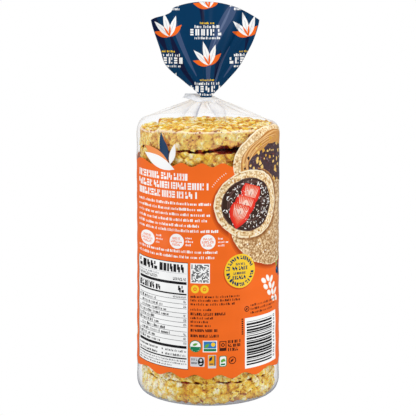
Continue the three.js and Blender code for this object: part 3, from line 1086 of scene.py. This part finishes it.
def side_panel(sheet):
    """Plain lines, a white box of lines and three round badges between the two panels."""
    sheet.lines("white", -104.0, 1.8, [(150.0 - 4.2 * k, 24 + 3 * (k * 5 % 3)) for k in range(6)])
    sheet.put("white", box(-104.0, 60.0, -76.0, 96.0, 2.0))
    sheet.lines("brown", -101.6, 1.6, [(91.0 - 3.9 * k, 16 + 2 * (k * 7 % 4)) for k in range(8)])
    for u, ring, sign in ((-100.0, "green", "leaf"), (-88.0, "blue", "navy"), (-76.5, "ochre", "caramel")):
        sheet.marks((ring, ellipse, u, 44.0, 4.6), ("white", ellipse, u, 44.0, 3.7),
                    (sign, leaf, u - 1.6, 42.2, 4.6, 2.0, 0.9))


def sprig(sheet, cu, cv, size, turn):
    """Pale and orange leaves on one foot, with fine veins."""
    for spread, length, ink in ((1.05, 0.72, "orange"), (-1.05, 0.72, "orange"), (0.55, 0.92, "white"),
                                (-0.55, 0.92, "white"), (0.0, 1.05, "white")):
        sheet.put(ink, leaf(cu, cv, size * length, size * 0.25, turn + spread))
    for spread in (-0.55, 0.0, 0.55):
        middle = turned(cu, cv, np.array([size * 0.46]), np.zeros(1), turn + spread)[0]
        sheet.put("leaf_vein", slab(*middle, size * 0.5, 0.45, turn + spread))
    for spread in (0.28, -0.28):
        sheet.put("orange", leaf(cu, cv, size * 0.5, size * 0.09, turn + spread))


def header_print(sheet):
    """Sprigs and short lines in staggered columns, in the picture plane of the header."""
    # Painted shade and painted sheen along the header's folds, under the motifs
    for ink, points, widths in FOLD_BANDS:
        sheet.put(ink, band(points, widths))
    for column in range(-2, 3):
        for row in range(-1, 3):
            x = MOTIF_X + column * MOTIF_COLUMN
            z = MOTIF_Z + (row + 0.5 * (column % 2)) * MOTIF_ROW
            sprig(sheet, x + 1.2, z - 20.9, 16.5, math.pi / 2 + 0.25)
            for ink, rise, width, height, bold in MOTIF_LINES:
                sheet.centred(ink, x, z + rise, width, height, bold)


def wavy_edge(level, crest, wave, first):
    """An edge of the label with a crest at the length first; its waves look even from in front."""
    u = np.linspace(LABEL_SEAM - LABEL_TURN, LABEL_SEAM, 400)
    near = np.clip(u, TABLE_LEFT, -TABLE_LEFT)
    seen = LABEL_RADIUS * np.sin(near / LABEL_RADIUS) + (u - near)
    return np.stack([u, level + crest * np.cos((seen - first) / wave * TAU)], axis=1)


def divided(polygon, longest):
    """The polygon with its long edges cut into short ones, so that they bend with the film."""
    points = []
    for start, end in zip(polygon, np.roll(polygon, -1, axis=0)):
        count = max(1, math.ceil(np.linalg.norm(end - start) / longest))
        points.extend(start + (end - start) * k / count for k in range(count))
    return np.array(points)


def cut_print(fields, keep, grid):
    """Points and triangles of the plane cut along every field, with each one's topmost ink.

    keep says which fields make the sheet itself; triangles outside them are dropped.
    """
    coords, outlines = [], []
    for polygon, _ in fields:
        x, y = polygon.T
        if (x * np.roll(y, -1) - y * np.roll(x, -1)).sum() < 0:
            polygon = polygon[::-1]
        polygon = divided(polygon, PRINT_EDGE)
        outlines.append(list(range(len(coords), len(coords) + len(polygon))))
        coords.extend(Vector(p) for p in polygon)
    coords.extend(Vector(p) for p in grid)
    places, _, triangles, _, _, sources = delaunay_2d_cdt(coords, [], outlines, 1, 1e-4)
    kept, inks = [], []
    for triangle, source in zip(triangles, sources):
        if source and not keep.isdisjoint(source):
            kept.append(triangle)
            inks.append(INK_NAMES.index(fields[max(source)][1]))
    used, faces = np.unique(kept, return_inverse=True)
    return np.array([places[i].to_tuple() for i in used]), faces.reshape(-1, 3), np.array(inks)


def add_print(name, material, points, normals, faces, inks, backing, depth):
    """An open sheet of print with its ink by face, made a thin solid by an inner copy and a rim."""
    count = len(points)
    edges = np.concatenate([faces[:, [0, 1]], faces[:, [1, 2]], faces[:, [2, 0]]])
    keys = {tuple(edge) for edge in edges.tolist()}
    rim = [(a, b) for a, b in keys if (b, a) not in keys]
    strip = [(b, a, a + count) for a, b in rim] + [(b, a + count, b + count) for a, b in rim]
    every = np.concatenate([faces, faces[:, ::-1] + count, np.array(strip)])
    table = np.array([srgb(*INKS[ink]) for ink in INK_NAMES])
    colours = np.tile(srgb(*INKS[backing]), (len(every), 1))
    colours[:len(inks)] = table[inks]
    grainy = np.zeros((len(every), 3))
    grainy[:len(inks)] = np.array([GRAINY_INKS.get(ink, 0.0) for ink in INK_NAMES])[inks][:, None]
    add_piece(name, np.concatenate([points, points - normals * depth]), every.tolist(), material,
              normals=np.concatenate([normals, -normals]), colours={"ink": colours, "oat": grainy})


class Nodes:
    """The nodes of a material or a world; each method returns an output of a new node."""

    def __init__(self, owner):
        owner.use_nodes = True
        self.tree = owner.node_tree
        self.tree.nodes.clear()

    def node(self, kind, inputs=None, **settings):
        """A new node; an input takes a number, a colour or the output of another node."""
        made = self.tree.nodes.new("ShaderNode" + kind)
        for name, value in settings.items():
            setattr(made, name, value)
        for name, value in (inputs or {}).items():
            if isinstance(value, bpy.types.NodeSocket):
                self.tree.links.new(value, made.inputs[name])
            else:
                made.inputs[name].default_value = value
        return made

    def out(self, output, kind, inputs=None, **settings):
        return self.node(kind, inputs, **settings).outputs[output]

    def place(self):
        return self.out("Object", "TexCoord")

    def attribute(self, name, output="Fac"):
        return self.out(output, "Attribute", attribute_name=name)

    def maths(self, operation, *values, clamp=False):
        return self.out("Value", "Math", dict(enumerate(values)), operation=operation, use_clamp=clamp)

    def noise(self, place, scale, detail, roughness=0.5):
        return self.out("Fac", "TexNoise", {"Vector": place, "Scale": scale, "Detail": detail,
                                            "Roughness": roughness})

    def ranged(self, value, low, high, floor, peak):
        """A value brought from one range to another and held at its ends."""
        return self.out("Result", "MapRange", {"Value": value, "From Min": low, "From Max": high,
                                               "To Min": floor, "To Max": peak})

    def mixed(self, factor, below, above, blend="MIX"):
        return self.out("Result", "Mix", {"Factor": factor, "A": below, "B": above},
                        data_type="RGBA", blend_type=blend)

    def shaders(self, factor, first, second):
        return self.out("Shader", "MixShader", {0: factor, 1: first, 2: second})

    def bump(self, height, strength, distance):
        return self.out("Normal", "Bump", {"Height": height, "Strength": strength, "Distance": distance})


def printed_film(name, roughness, gloss, wrinkle):
    """Ink by face on film, with a grain where the print pictures puffed rice."""
    material = bpy.data.materials.new(name)
    nodes = Nodes(material)
    place = nodes.place()
    cells = nodes.node("TexVoronoi", {"Vector": place, "Scale": 660.0})
    core = nodes.ranged(cells.outputs["Distance"], 0.2, 0.72, 0.0, 1.0)
    pick = nodes.out("Red", "SeparateColor", {"Color": cells.outputs["Color"]})
    grain = nodes.maths("ADD", core, nodes.ranged(pick, 0.0, 1.0, -0.25, 0.35), clamp=True)
    grain_colour = nodes.mixed(grain, (1.25, 1.4, 1.7, 1), (0.5, 0.38, 0.28, 1))
    ink = nodes.mixed(nodes.attribute("oat"), nodes.attribute("ink", "Color"), grain_colour, "MULTIPLY")
    blotch = nodes.ranged(nodes.noise(place, 60.0, 3.0), 0.0, 1.0, 0.95, 1.04)
    shader = nodes.out("BSDF", "BsdfPrincipled", {
        "Base Color": nodes.mixed(1.0, ink, blotch, "MULTIPLY"), "Roughness": roughness,
        "Specular IOR Level": gloss,
        "Normal": nodes.bump(nodes.noise(place, wrinkle, 2.0, 0.4), 0.15, 0.0006)})
    nodes.node("OutputMaterial", {"Surface": shader})
    return material


def clear_film_material():
    """Thin clear film: see-through face on, hazy edge on and where it is gathered, with painted shade in its
    creases.
    """
    material = bpy.data.materials.new("clear_film")
    nodes = Nodes(material)
    edge = nodes.maths("POWER", nodes.out("Facing", "LayerWeight", {"Blend": 0.5}), 8.0)
    streaks = nodes.ranged(nodes.noise(nodes.place(), 55.0, 3.0), 0.5, 0.75, 0.0, 0.04)
    veiled = nodes.maths("MULTIPLY_ADD", edge, nodes.attribute("veil"), streaks)
    haze = nodes.maths("ADD", veiled, nodes.attribute("gather"), clamp=True)
    tint = nodes.mixed(nodes.attribute("pale"), (*srgb(*FILM_GREY), 1), (*srgb(*FILM_WHITE), 1))
    front = nodes.out("BSDF", "BsdfPrincipled", {"Base Color": tint, "Roughness": 0.3,
                                                 "Specular IOR Level": 0.25})
    through = nodes.out("BSDF", "BsdfTranslucent", {"Color": tint})
    clear = nodes.out("BSDF", "BsdfTransparent", {"Color": FILM_CLEAR})
    film = nodes.shaders(haze, clear, nodes.shaders(0.2, front, through))
    nodes.node("OutputMaterial", {"Surface": film})
    return material


def rice_material():
    """Puffed whole grain rice: cream to golden grains, ochre seams, red-brown bran and specks."""
    material = bpy.data.materials.new("puffed_rice")
    nodes = Nodes(material)
    place = nodes.place()
    tone, seam, bran = nodes.node("SeparateXYZ", {0: nodes.attribute("look", "Vector")}).outputs
    gap_shade, rim, _ = nodes.node("SeparateXYZ", {0: nodes.attribute("touch", "Vector")}).outputs

    def tinted(below, factor, colour):
        return nodes.mixed(factor, below, (*srgb(*colour), 1))

    def spots(scale, low, high, rarity):
        """Scattered round spots: a cell's core, in the cells that a random pick keeps."""
        cells = nodes.node("TexVoronoi", {"Vector": place, "Scale": scale})
        core = nodes.ranged(cells.outputs["Distance"], low, high, 0.9, 0.0)
        pick = nodes.out("Red", "SeparateColor", {"Color": cells.outputs["Color"]})
        return nodes.maths("MULTIPLY", core, nodes.maths("GREATER_THAN", pick, rarity), clamp=True)

    mottle = nodes.ranged(nodes.noise(place, 420.0, 5.0, 0.7), 0.3, 0.7, -0.42, 0.42)
    ramp = nodes.node("ValToRGB", {"Fac": nodes.maths("ADD", tone, mottle)})
    ends = ramp.color_ramp.elements
    for end, (position, colour) in zip(ends, (RICE_TONES[0], RICE_TONES[-1])):
        end.position = position
        end.color = (*srgb(*colour), 1)
    for position, colour in RICE_TONES[1:-1]:
        ends.new(position).color = (*srgb(*colour), 1)

    patch = nodes.ranged(nodes.noise(place, 230.0, 3.0), 0.52, 0.62, 0.0, 0.85)
    flecks = nodes.ranged(nodes.noise(place, 400.0, 2.0), 0.55, 0.62, 0.0, 1.0)
    from_middle = nodes.maths("SUBTRACT", nodes.noise(place, 300.0, 3.0, 0.55), 0.5)
    cracks = nodes.ranged(nodes.maths("ABSOLUTE", from_middle), 0.006, 0.022, 0.6, 0.0)
    colour = tinted(ramp.outputs["Color"], patch, RICE_GOLD)
    colour = tinted(colour, cracks, RICE_SEAM)
    # Seam colour: dark joints between grains, and painted shade in the low hollows
    colour = tinted(colour, seam, RICE_SEAM)
    colour = tinted(colour, rim, RICE_RIM)
    colour = tinted(colour, nodes.maths("MULTIPLY", flecks, bran, clamp=True), RICE_BRAN)
    colour = tinted(colour, spots(230.0, 0.13, 0.2, 0.7), RICE_RED)
    colour = tinted(colour, spots(310.0, 0.13, 0.18, 0.74), RICE_SPECK)
    # Painted shade on the faces hidden between cakes, for the dark gaps of the stack
    colour = tinted(colour, gap_shade, RICE_GAP_SHADE)
    shader = nodes.out("BSDF", "BsdfPrincipled", {
        "Base Color": colour, "Roughness": 0.45, "Specular IOR Level": 0.35,
        "Subsurface Weight": 0.25, "Subsurface Scale": 0.0015, "Subsurface Radius": (1.0, 0.62, 0.2),
        "Normal": nodes.bump(nodes.noise(place, 900.0, 3.0), 0.6, 0.0004)})
    nodes.node("OutputMaterial", {"Surface": shader})
    return material


def square_disc(cells):
    """A square grid bent to a disc of radius 1: its places, its quads and the loop of its edge."""
    t = np.linspace(-1, 1, cells + 1)
    gx, gy = np.meshgrid(t, t, indexing="ij")
    by_x = np.abs(gx) >= np.abs(gy)
    reach, other = np.where(by_x, gx, gy), np.where(by_x, gy, gx)
    angle = math.pi / 4 * np.divide(other, reach, out=np.zeros_like(reach), where=reach != 0)
    along, over = reach * np.cos(angle), reach * np.sin(angle)
    places = np.stack([np.where(by_x, along, over), np.where(by_x, over, along)], axis=-1).reshape(-1, 2)
    index = np.arange(len(places)).reshape(cells + 1, cells + 1)
    quads = np.stack([index[:-1, :-1], index[1:, :-1], index[1:, 1:], index[:-1, 1:]], axis=-1)
    loop = np.concatenate([index[:-1, 0], index[-1, :-1], index[:0:-1, -1], index[0, :0:-1]])
    return places, quads.reshape(-1, 4), loop


def side_row(path, height, upper_edge, lower_edge):
    """Radius, height and tilt of a cake's skin at a length down from the edge of its upper face."""
    half = height / 2
    upper_arc = upper_edge * math.pi / 2
    straight = height - upper_edge - lower_edge
    beyond = path - upper_arc - straight
    if path < upper_arc:
        tilt = path / upper_edge
        return (CAKE_RADIUS - upper_edge * (1 - math.sin(tilt)),
                half - upper_edge * (1 - math.cos(tilt)), tilt)
    if beyond < 0:
        return CAKE_RADIUS, half - upper_edge - (path - upper_arc), math.pi / 2
    tilt = math.pi / 2 + beyond / lower_edge
    return (CAKE_RADIUS - lower_edge * (1 - math.sin(tilt)),
            -half + lower_edge * (1 + math.cos(tilt)), tilt)


def cake_skin(cells, rows, height, upper_edge, lower_edge):
    """Places, normals and quads of a disc with rounded edges, about its own middle."""
    disc, quads, loop = square_disc(cells)
    half = height / 2
    count = len(disc)
    flat = np.ones((count, 1))
    upright = np.ones((len(loop), 1))
    places = [np.hstack([disc * (CAKE_RADIUS - upper_edge), half * flat]),
              np.hstack([disc * (CAKE_RADIUS - lower_edge), -half * flat])]
    normals = [flat * (0, 0, 1), flat * (0, 0, -1)]
    faces = [quads, quads[:, ::-1] + count]
    rings = [loop]
    way = (upper_edge + lower_edge) * math.pi / 2 + height - upper_edge - lower_edge
    for row in range(1, rows):
        radius, z, tilt = side_row(row / rows * way, height, upper_edge, lower_edge)
        rings.append(2 * count + (row - 1) * len(loop) + np.arange(len(loop)))
        places.append(np.hstack([disc[loop] * radius, z * upright]))
        normals.append(np.hstack([disc[loop] * math.sin(tilt), math.cos(tilt) * upright]))
    rings.append(loop + count)
    for upper, lower in zip(rings[:-1], rings[1:]):
        faces.append(np.stack([upper, lower, np.roll(lower, -1), np.roll(upper, -1)], axis=1))
    return np.concatenate(places), np.concatenate(normals), np.concatenate(faces)


def spread_out(draw, tries, gap, around=None):
    """Random flat places at least a gap apart. Past the length around, the first axis repeats."""
    kept = np.empty((0, 2))
    for _ in range(tries):
        place = draw()
        off = np.abs(kept - place)
        if around:
            off[:, 0] = np.minimum(off[:, 0], around - off[:, 0])
        if not len(kept) or (off ** 2).sum(1).min() > gap ** 2:
            kept = np.vstack([kept, place])
    return kept


def scatter_grains(rng, height):
    """Grains on the disc's skin: middles, and axes scaled so that a grain's edge is at length 1."""
    half = height / 2
    spots, outs, sizes = [], [], []

    def on_face():
        r, t = (CAKE_RADIUS - GRAIN_MARGIN) * math.sqrt(rng.random()), rng.random() * TAU
        return np.array([r * math.cos(t), r * math.sin(t)])

    def on_side():
        return np.array([rng.random() * TAU * CAKE_RADIUS, rng.uniform(1.0 - half, half - 1.0)])

    def add(grain, spot, out):
        spots.append(spot)
        outs.append(out)
        sizes.append((rng.uniform(*grain["length"]), rng.uniform(*grain["width"]), grain["depth"]))

    for face in (1, -1):
        for x, y in spread_out(on_face, FACE_GRAIN["tries"], FACE_GRAIN["gap"]):
            add(FACE_GRAIN, (x, y, face * half), (0, 0, face))
    for length, z in spread_out(on_side, SIDE_GRAIN["tries"], SIDE_GRAIN["gap"], TAU * CAKE_RADIUS):
        x, y = math.cos(length / CAKE_RADIUS), math.sin(length / CAKE_RADIUS)
        add(SIDE_GRAIN, (CAKE_RADIUS * x, CAKE_RADIUS * y, z), (x, y, 0))
    spots, outs, sizes = np.array(spots), np.array(outs, float), np.array(sizes)
    aim = rng.normal(size=(len(spots), 3))
    aim -= 0.85 * outs * (aim * outs).sum(1, keepdims=True)
    first = aim / np.linalg.norm(aim, axis=1, keepdims=True)
    third = outs - first * (outs * first).sum(1, keepdims=True)
    third /= np.linalg.norm(third, axis=1, keepdims=True)
    second = np.cross(third, first)
    axes = np.stack([first, second, third], axis=1) / sizes[:, :, None]
    return spots, axes, sizes[:, 0]


def nearest_grains(places, spots, axes, reach):
    """For each place its grain, how far it lies from that grain's middle, and from the next one's."""
    first = np.full(len(places), 4.0)
    second = np.full(len(places), 4.0)
    grain = np.zeros(len(places), int)
    for i, (spot, axis, long) in enumerate(zip(spots, axes, reach)):
        near = np.nonzero(((places - spot) ** 2).sum(1) < (2.2 * long) ** 2)[0]
        away = np.linalg.norm((places[near] - spot) @ axis.T, axis=1)
        closer = away < first[near]
        second[near] = np.where(closer, first[near], np.minimum(second[near], away))
        first[near] = np.where(closer, away, first[near])
        grain[near] = np.where(closer, i, grain[near])
    return grain, first, second


def vertex_normals(points, quads):
    """Unit normals at the points of a mesh of quads, each the mean of the faces round it."""
    a, b, c, d = (points[quads[:, k]] for k in range(4))
    by_face = np.cross(c - a, d - b)
    total = np.zeros_like(points)
    for k in range(4):
        np.add.at(total, quads[:, k], by_face)
    return total / np.maximum(np.linalg.norm(total, axis=1, keepdims=True), 1e-9)


class Cake:
    """One cake of popped grains, pressed flat on its faces and rougher round its side."""

    def __init__(self, number, noise):
        self.number = number
        self.noise = noise
        self.rng = np.random.default_rng(CAKE_SEED + number)
        base = STACK_FOOT + number * CAKE_PITCH + CAKE_AIR
        self.form = {**PLAIN_CAKE, "base": base, **CAKE_FORMS.get(number, {})}
        cells, rows = SHOWN_CELLS if number in CAKE_FORMS else HIDDEN_CELLS
        self.half = self.form["height"] / 2
        self.places, self.normals, self.quads = cake_skin(
            cells, rows, self.form["height"], self.form["upper_edge"], self.form["lower_edge"])
        self.side = 1 - np.abs(self.normals[:, 2])
        self.on_face = self.side < FACE_STEEPNESS
        rim = np.exp(-((self.normals[:, 2] - RIM_SLOPE) / RIM_SPREAD) ** 2)
        self.rim = rim * (self.side > FACE_STEEPNESS)
        self.up = np.clip(self.places[:, 2] / self.half, -1, 1)
        self.spots, axes, reach = scatter_grains(self.rng, self.form["height"])
        drift = sum(size * np.stack([self.waves(length, 31 * k) for k in (1, 2, 3)], axis=1)
                    for size, length in GRAIN_DRIFTS)
        self.grain, self.away, next_away = nearest_grains(self.places + drift, self.spots, axes, reach)
        self.between = next_away - self.away
        self.parted = smooth(self.waves(3.6, 17), -0.5, 0.3)

    def waves(self, length, offset=0):
        """Noise of one wavelength at the cake's places."""
        return self.noise(self.places + NOISE_STEP * self.number + offset, length)

    def relief(self):
        """Rise of the skin: low domes on levels and tilts of their own, and grooves here and there."""
        level = self.rng.uniform(*GRAIN_LEVELS, len(self.spots))[self.grain]
        lean = (self.rng.normal(size=(len(self.spots), 3)) * GRAIN_TILT)[self.grain]
        tilt = ((self.places - self.spots[self.grain]) * lean).sum(1)
        dome = -GRAIN_DOME * np.minimum(self.away, 1.6) ** 2
        groove = np.exp(-self.between / GROOVE_WIDTH) * mix(0.3, 1.0, self.parted)
        rough = sum(self.waves(length, offset) * mix(on_face, on_side, self.side)
                    for length, offset, on_face, on_side in SKIN_WAVES)
        rise = np.clip(level + tilt, *RISE_LIMITS) + dome - GROOVE_DEPTH * groove + rough
        return (rise * (1 - 0.6 * self.rim * self.form["pale_rim"])
                * mix(FACE_RELIEF, self.form["relief"], self.side))

    def bend(self, shape):
        """Slopes the faces, waves the hem, cuts its notch and drops the chipped edge."""
        x, y = self.places[:, 0], self.places[:, 1]
        lower, upper = (1 - self.up) / 2, (1 + self.up) / 2
        outward = smooth(np.hypot(x, y), 38, 46)
        hem = self.noise(self.places * (1, 1, 0) + NOISE_STEP * self.number, 5.0) * self.form["hem"]
        off_notch = (np.arctan2(x, -y) - NOTCH_TURN) / NOTCH_WIDTH
        notch = self.form["notch"] * np.exp(-off_notch ** 2)
        shape[:, 2] += (self.form["low_wedge"] * x + (hem + notch) * outward) * lower
        shape[:, 2] += self.form["high_wedge"] * x * upper
        if self.form["chipped"]:
            edge = -x + 1.2 * self.noise(self.places, 5.0)
            shape[:, 2] -= CHIP_DEPTH * smooth(edge, *CHIP_EDGE) * smooth(self.up, 0.2, 0.9)

    def looks(self, rise, shape):
        """By place: tone, seam and bran in look, painted shade of hidden faces and pale rim in touch."""
        tones = self.rng.random(len(self.spots))[self.grain]
        brans = (self.rng.random(len(self.spots)) ** 2)[self.grain]
        steep = 1 - np.abs((vertex_normals(shape, self.quads) * self.normals).sum(1))
        seam = np.exp(-self.between / SEAM_WIDTH) * mix(0.4, 1.0, self.parted)
        # Painted shade: low places in the hollows darken the seam colour, and the tone drops where the skin
        # is low or steep
        low = smooth(-rise, 0.9, 1.9)
        x = self.places[:, 0]
        # Painted light: the left and right of the cake are paler, the left most, where the side lamps fall;
        # seams and bran fade there too
        side_light = self.form["painted_side_light"] * (1.7 * smooth(-x, 8, 42) + 0.7 * smooth(x, 14, 46))
        tone = (TONE_MIDDLE + TONE_SPREAD * (tones - 0.5) + TONE_BY_PLACE * (0.5 - self.away)
                + TONE_BY_PATCH * self.waves(5.0) + TONE_BY_RISE * (rise + 0.6)
                - TONE_BY_SLOPE * smooth(steep, 0.05, 0.5)
                + side_light + self.form["pale_face"] * self.on_face)
        # Painted shade on faces hidden between cakes, and lightly on the bottom cake's base
        above = 0.0 if self.number == CAKE_COUNT - 1 else HIDDEN_FACE_SHADE
        below = BASE_FACE_SHADE if self.number == 0 else HIDDEN_FACE_SHADE
        gap_shade = np.where(self.normals[:, 2] > 0, above, below) * self.on_face
        look = [tone, np.clip(0.9 * seam + 0.6 * low, 0, 1) * (1 - 0.5 * self.rim) * (1 - side_light),
                np.clip(brans + 0.6 * seam, 0, 1) * (1 - side_light)]
        touch = [gap_shade, self.rim * self.form["pale_rim"], np.zeros_like(gap_shade)]
        return {"look": np.stack(look, axis=1), "touch": np.stack(touch, axis=1)}

    def make(self, material):
        rise = self.relief()
        shape = self.places + self.normals * rise[:, None]
        self.bend(shape)
        values = self.looks(rise, shape)
        shape[:, 2] += self.form["base"] + self.half
        add_piece(f"rice_cake_{self.number + 1:02d}", shape, self.quads.tolist(), material,
                  values=values)


def grid_faces(rows, columns):
    """Quads of a grid that closes on itself sideways, first row lowest."""
    i = np.arange(rows - 1)[:, None] * columns
    j = np.arange(columns)[None, :]
    k = (j + 1) % columns
    return np.stack([i + j, i + k, i + columns + k, i + columns + j], axis=-1).reshape(-1, 4)


def base_rings(turn):
    """Rings of the base and its rounded corner: places, haze, paleness and fog when edge on."""
    for share in np.linspace(0.04, 1, 16):
        crease = BASE_CREASE * leaning_wave(BASE_CREASES * turn + 1.0) * share * (1 - share) * 4
        yield (on_circle(turn, (BODY_RADIUS_LOW - BASE_CORNER) * share, np.abs(crease)),
               BASE_HAZE, BASE_PALE, WALL_VEILS[0])
    for angle in np.linspace(0, math.pi / 2, 9)[1:-1]:
        radius = (BODY_RADIUS_LOW - BASE_CORNER * (1 - math.sin(angle))
                  - cling(turn, BASE_CORNER_HEIGHT) * math.sin(angle))
        yield (on_circle(turn, radius, BASE_CORNER_HEIGHT * (1 - math.cos(angle))),
               CORNER_HAZE * (1 - angle / 2), BASE_PALE, WALL_VEILS[0])


def wall_rings(turn):
    """Rings of the body and shoulder, as those of the base."""
    lengths = np.concatenate([np.linspace(BASE_CORNER_HEIGHT, 24, 12), np.linspace(26, 166, 40),
                              np.linspace(168, SHOULDER_START + SHOULDER_LENGTH, 24)])
    for length in lengths:
        # Paler towards the shoulder, partly as painted top light
        high = smooth(length, 150, SHOULDER_START + 4)
        yield wall(turn, length), WALL_HAZE, mix(*WALL_PALES, high), mix(*WALL_VEILS, high)


def tent_rings(turn):
    """Rings of the tent, with painted shade along its pleats and a painted shadow under the collar, hazier
    near the gather and behind.
    """
    behind = smooth(-np.cos(turn), 0, 0.5)
    for share in np.linspace(0, 1, 40)[1:]:
        shade = np.clip(tent_dips(turn, share, SHADE_LIP), 0, 1) ** SHADE_POWER * smooth(share, 0.25, 0.5)
        fog = mix(smooth(share, *FOG_FRONT),
                  FOG_BEHIND_LOW + FOG_BEHIND_RISE * smooth(share, *FOG_BEHIND), behind)
        collar_shadow = COLLAR_SHADOW * smooth(share, 0.8, 0.95)
        yield (tent(turn, share), WALL_HAZE + TENT_HAZE * fog + TENT_SHADE * shade + collar_shadow,
               TENT_PALE * (1 - shade) - collar_shadow * (1 - shade), TENT_VEIL)


def collar_rings(turn):
    for share in np.linspace(0, 1, 16)[1:]:
        yield collar(turn, share), COLLAR_HAZE, COLLAR_PALE, WALL_VEILS[0]


def make_clear_film(material):
    turn = np.arange(FILM_COLUMNS) * TAU / FILM_COLUMNS - math.pi
    rings = [ring for part in (base_rings, wall_rings, tent_rings, collar_rings) for ring in part(turn)]
    faces = grid_faces(len(rings), FILM_COLUMNS).tolist()
    faces.append(list(range(FILM_COLUMNS))[::-1])
    places, *looks = zip(*rings)
    values = {name: np.concatenate([value + 0 * turn for value in by_ring])
              for name, by_ring in zip(("gather", "pale", "veil"), looks)}
    piece = add_piece("film_clear", np.concatenate(places), faces, material, values=values)
    piece.visible_shadow = False


def make_label(material):
    sheet = Sheet(LABEL_SEED)
    low = wavy_edge(LABEL_LOW, *LABEL_LOW_WAVE)
    high = wavy_edge(LABEL_HIGH, *LABEL_HIGH_WAVE)
    sheet.put("orange", np.concatenate([low, high[::-1]]))
    for ink, *numbers in EDGE_LEAVES:
        sheet.put(ink, leaf(*numbers))
    before = len(sheet.fields)
    back_panel(sheet)
    front_panel(sheet)
    over_edge = {before + i for i, (polygon, ink) in enumerate(sheet.fields[before:])
                 if polygon[:, 1].max() > LABEL_HIGH - 2 and ink not in SHADOW_INKS}
    grid = [(u, v) for u in np.arange(LABEL_SEAM - LABEL_TURN + PRINT_GRID / 2, LABEL_SEAM - 0.5, PRINT_GRID)
            for v in np.arange(LABEL_LOW - 1, LABEL_HIGH + 26, PRINT_GRID)]
    flat, faces, inks = cut_print(sheet.fields, set(range(before)) | over_edge, grid)
    turn, length = flat[:, 0] / LABEL_RADIUS, flat[:, 1]
    normals = normals_of(lambda a, b: wall(a, b, INK_LIFT), turn, length)
    add_print("label_print", material, wall(turn, length, INK_LIFT), normals, faces, inks,
              "orange_light", INK_THICKNESS)


def header_fields(side, rim):
    """The header's fields on one side, brought from the picture plane to the flat plane."""
    sheet = Sheet(HEADER_SEEDS[side])
    header_print(sheet)
    fields = [(rim, "navy")]
    for polygon, ink in sheet.fields:
        if polygon[:, 1].min() < NECK_HEIGHT:
            continue
        dense = divided(polygon, PRINT_EDGE)
        p, share = header_inverse(dense[:, 0] * -side, dense[:, 1])
        if p.min() <= 1 and p.max() >= -1 and share.min() <= 1:
            fields.append((np.stack([p, share], 1) * HEADER_PLANE, ink))
    return fields


def make_header(material):
    """The front and back of the header, cut flat in p and share and then bent to its form."""
    across, up = np.linspace(-1, 1, HEADER_RIM[0]), np.linspace(0, 1, HEADER_RIM[1])[1:-1]
    rim = np.concatenate([[(p, 0) for p in across], [(1, s) for s in up],
                          [(p, 1) for p in across[::-1]], [(-1, s) for s in up[::-1]]]) * HEADER_PLANE
    grid = [np.array([p, s]) * HEADER_PLANE for p in np.linspace(-1, 1, HEADER_GRID[0])[1:-1]
            for s in np.linspace(0, 1, HEADER_GRID[1])[1:-1]]
    for side, name in ((-1, "header_front"), (1, "header_back")):
        flat, faces, inks = cut_print(header_fields(side, rim), {0}, grid)
        p, share = (flat / HEADER_PLANE).T
        p, share = np.clip(p, -1, 1), np.clip(share, 0, 1)
        inner = np.clip(p, -0.998, 0.998), np.clip(share, 0.002, 0.998)
        normals = normals_of(lambda a, b: header(a, b, side), *inner) * -side
        add_print(name, material, header(p, share, side), normals, faces[:, ::-side], inks,
                  "navy", HEADER_THICKNESS)


def set_world(scene):
    """White to the camera, soft white light on the bag, and dim in its reflections."""
    world = bpy.data.worlds.new("studio")
    scene.world = world
    nodes = Nodes(world)
    path = nodes.node("LightPath").outputs
    shown, light, mirrored = (
        nodes.out("Background", "Background", {"Color": colour, "Strength": strength})
        for colour, strength in (((1, 1, 1, 1), 1.0), ((0.97, 0.98, 1, 1), WORLD_LIGHT),
                                 ((1, 1, 1, 1), WORLD_MIRRORED)))
    lit = nodes.shaders(path["Is Glossy Ray"], light, mirrored)
    nodes.node("OutputWorld", {"Surface": nodes.shaders(path["Is Camera Ray"], lit, shown)})


def add_softbox(scene, name, place, width, height, power):
    data = bpy.data.lights.new(name, "AREA")
    data.shape = "RECTANGLE"
    data.size, data.size_y = width, height
    data.energy = power
    lamp = bpy.data.objects.new(name, data)
    lamp.location = place
    lamp.rotation_euler = (Vector(BAG_MIDDLE) - Vector(place)).to_track_quat("-Z", "Y").to_euler()
    scene.collection.objects.link(lamp)


def add_camera(scene):
    data = bpy.data.cameras.new("camera")
    data.lens = CAMERA_LENS
    data.sensor_width = CAMERA_SENSOR
    camera = bpy.data.objects.new("camera", data)
    camera.location = CAMERA_PLACE
    camera.rotation_euler = (math.pi / 2 - CAMERA_PITCH, 0, 0)
    scene.collection.objects.link(camera)
    scene.camera = camera


def set_stage():
    scene = bpy.context.scene
    scene.view_settings.view_transform = "Standard"
    set_world(scene)
    for softbox in SOFTBOXES:
        add_softbox(scene, *softbox)
    add_camera(scene)


rice = rice_material()
noise_field = Noise(NOISE_SEED)
for cake_number in range(CAKE_COUNT):
    Cake(cake_number, noise_field).make(rice)
make_clear_film(clear_film_material())
make_label(printed_film("label_ink", 0.34, 0.14, 60.0))
make_header(printed_film("header_ink", 0.36, 0.08, 40.0))
set_stage()
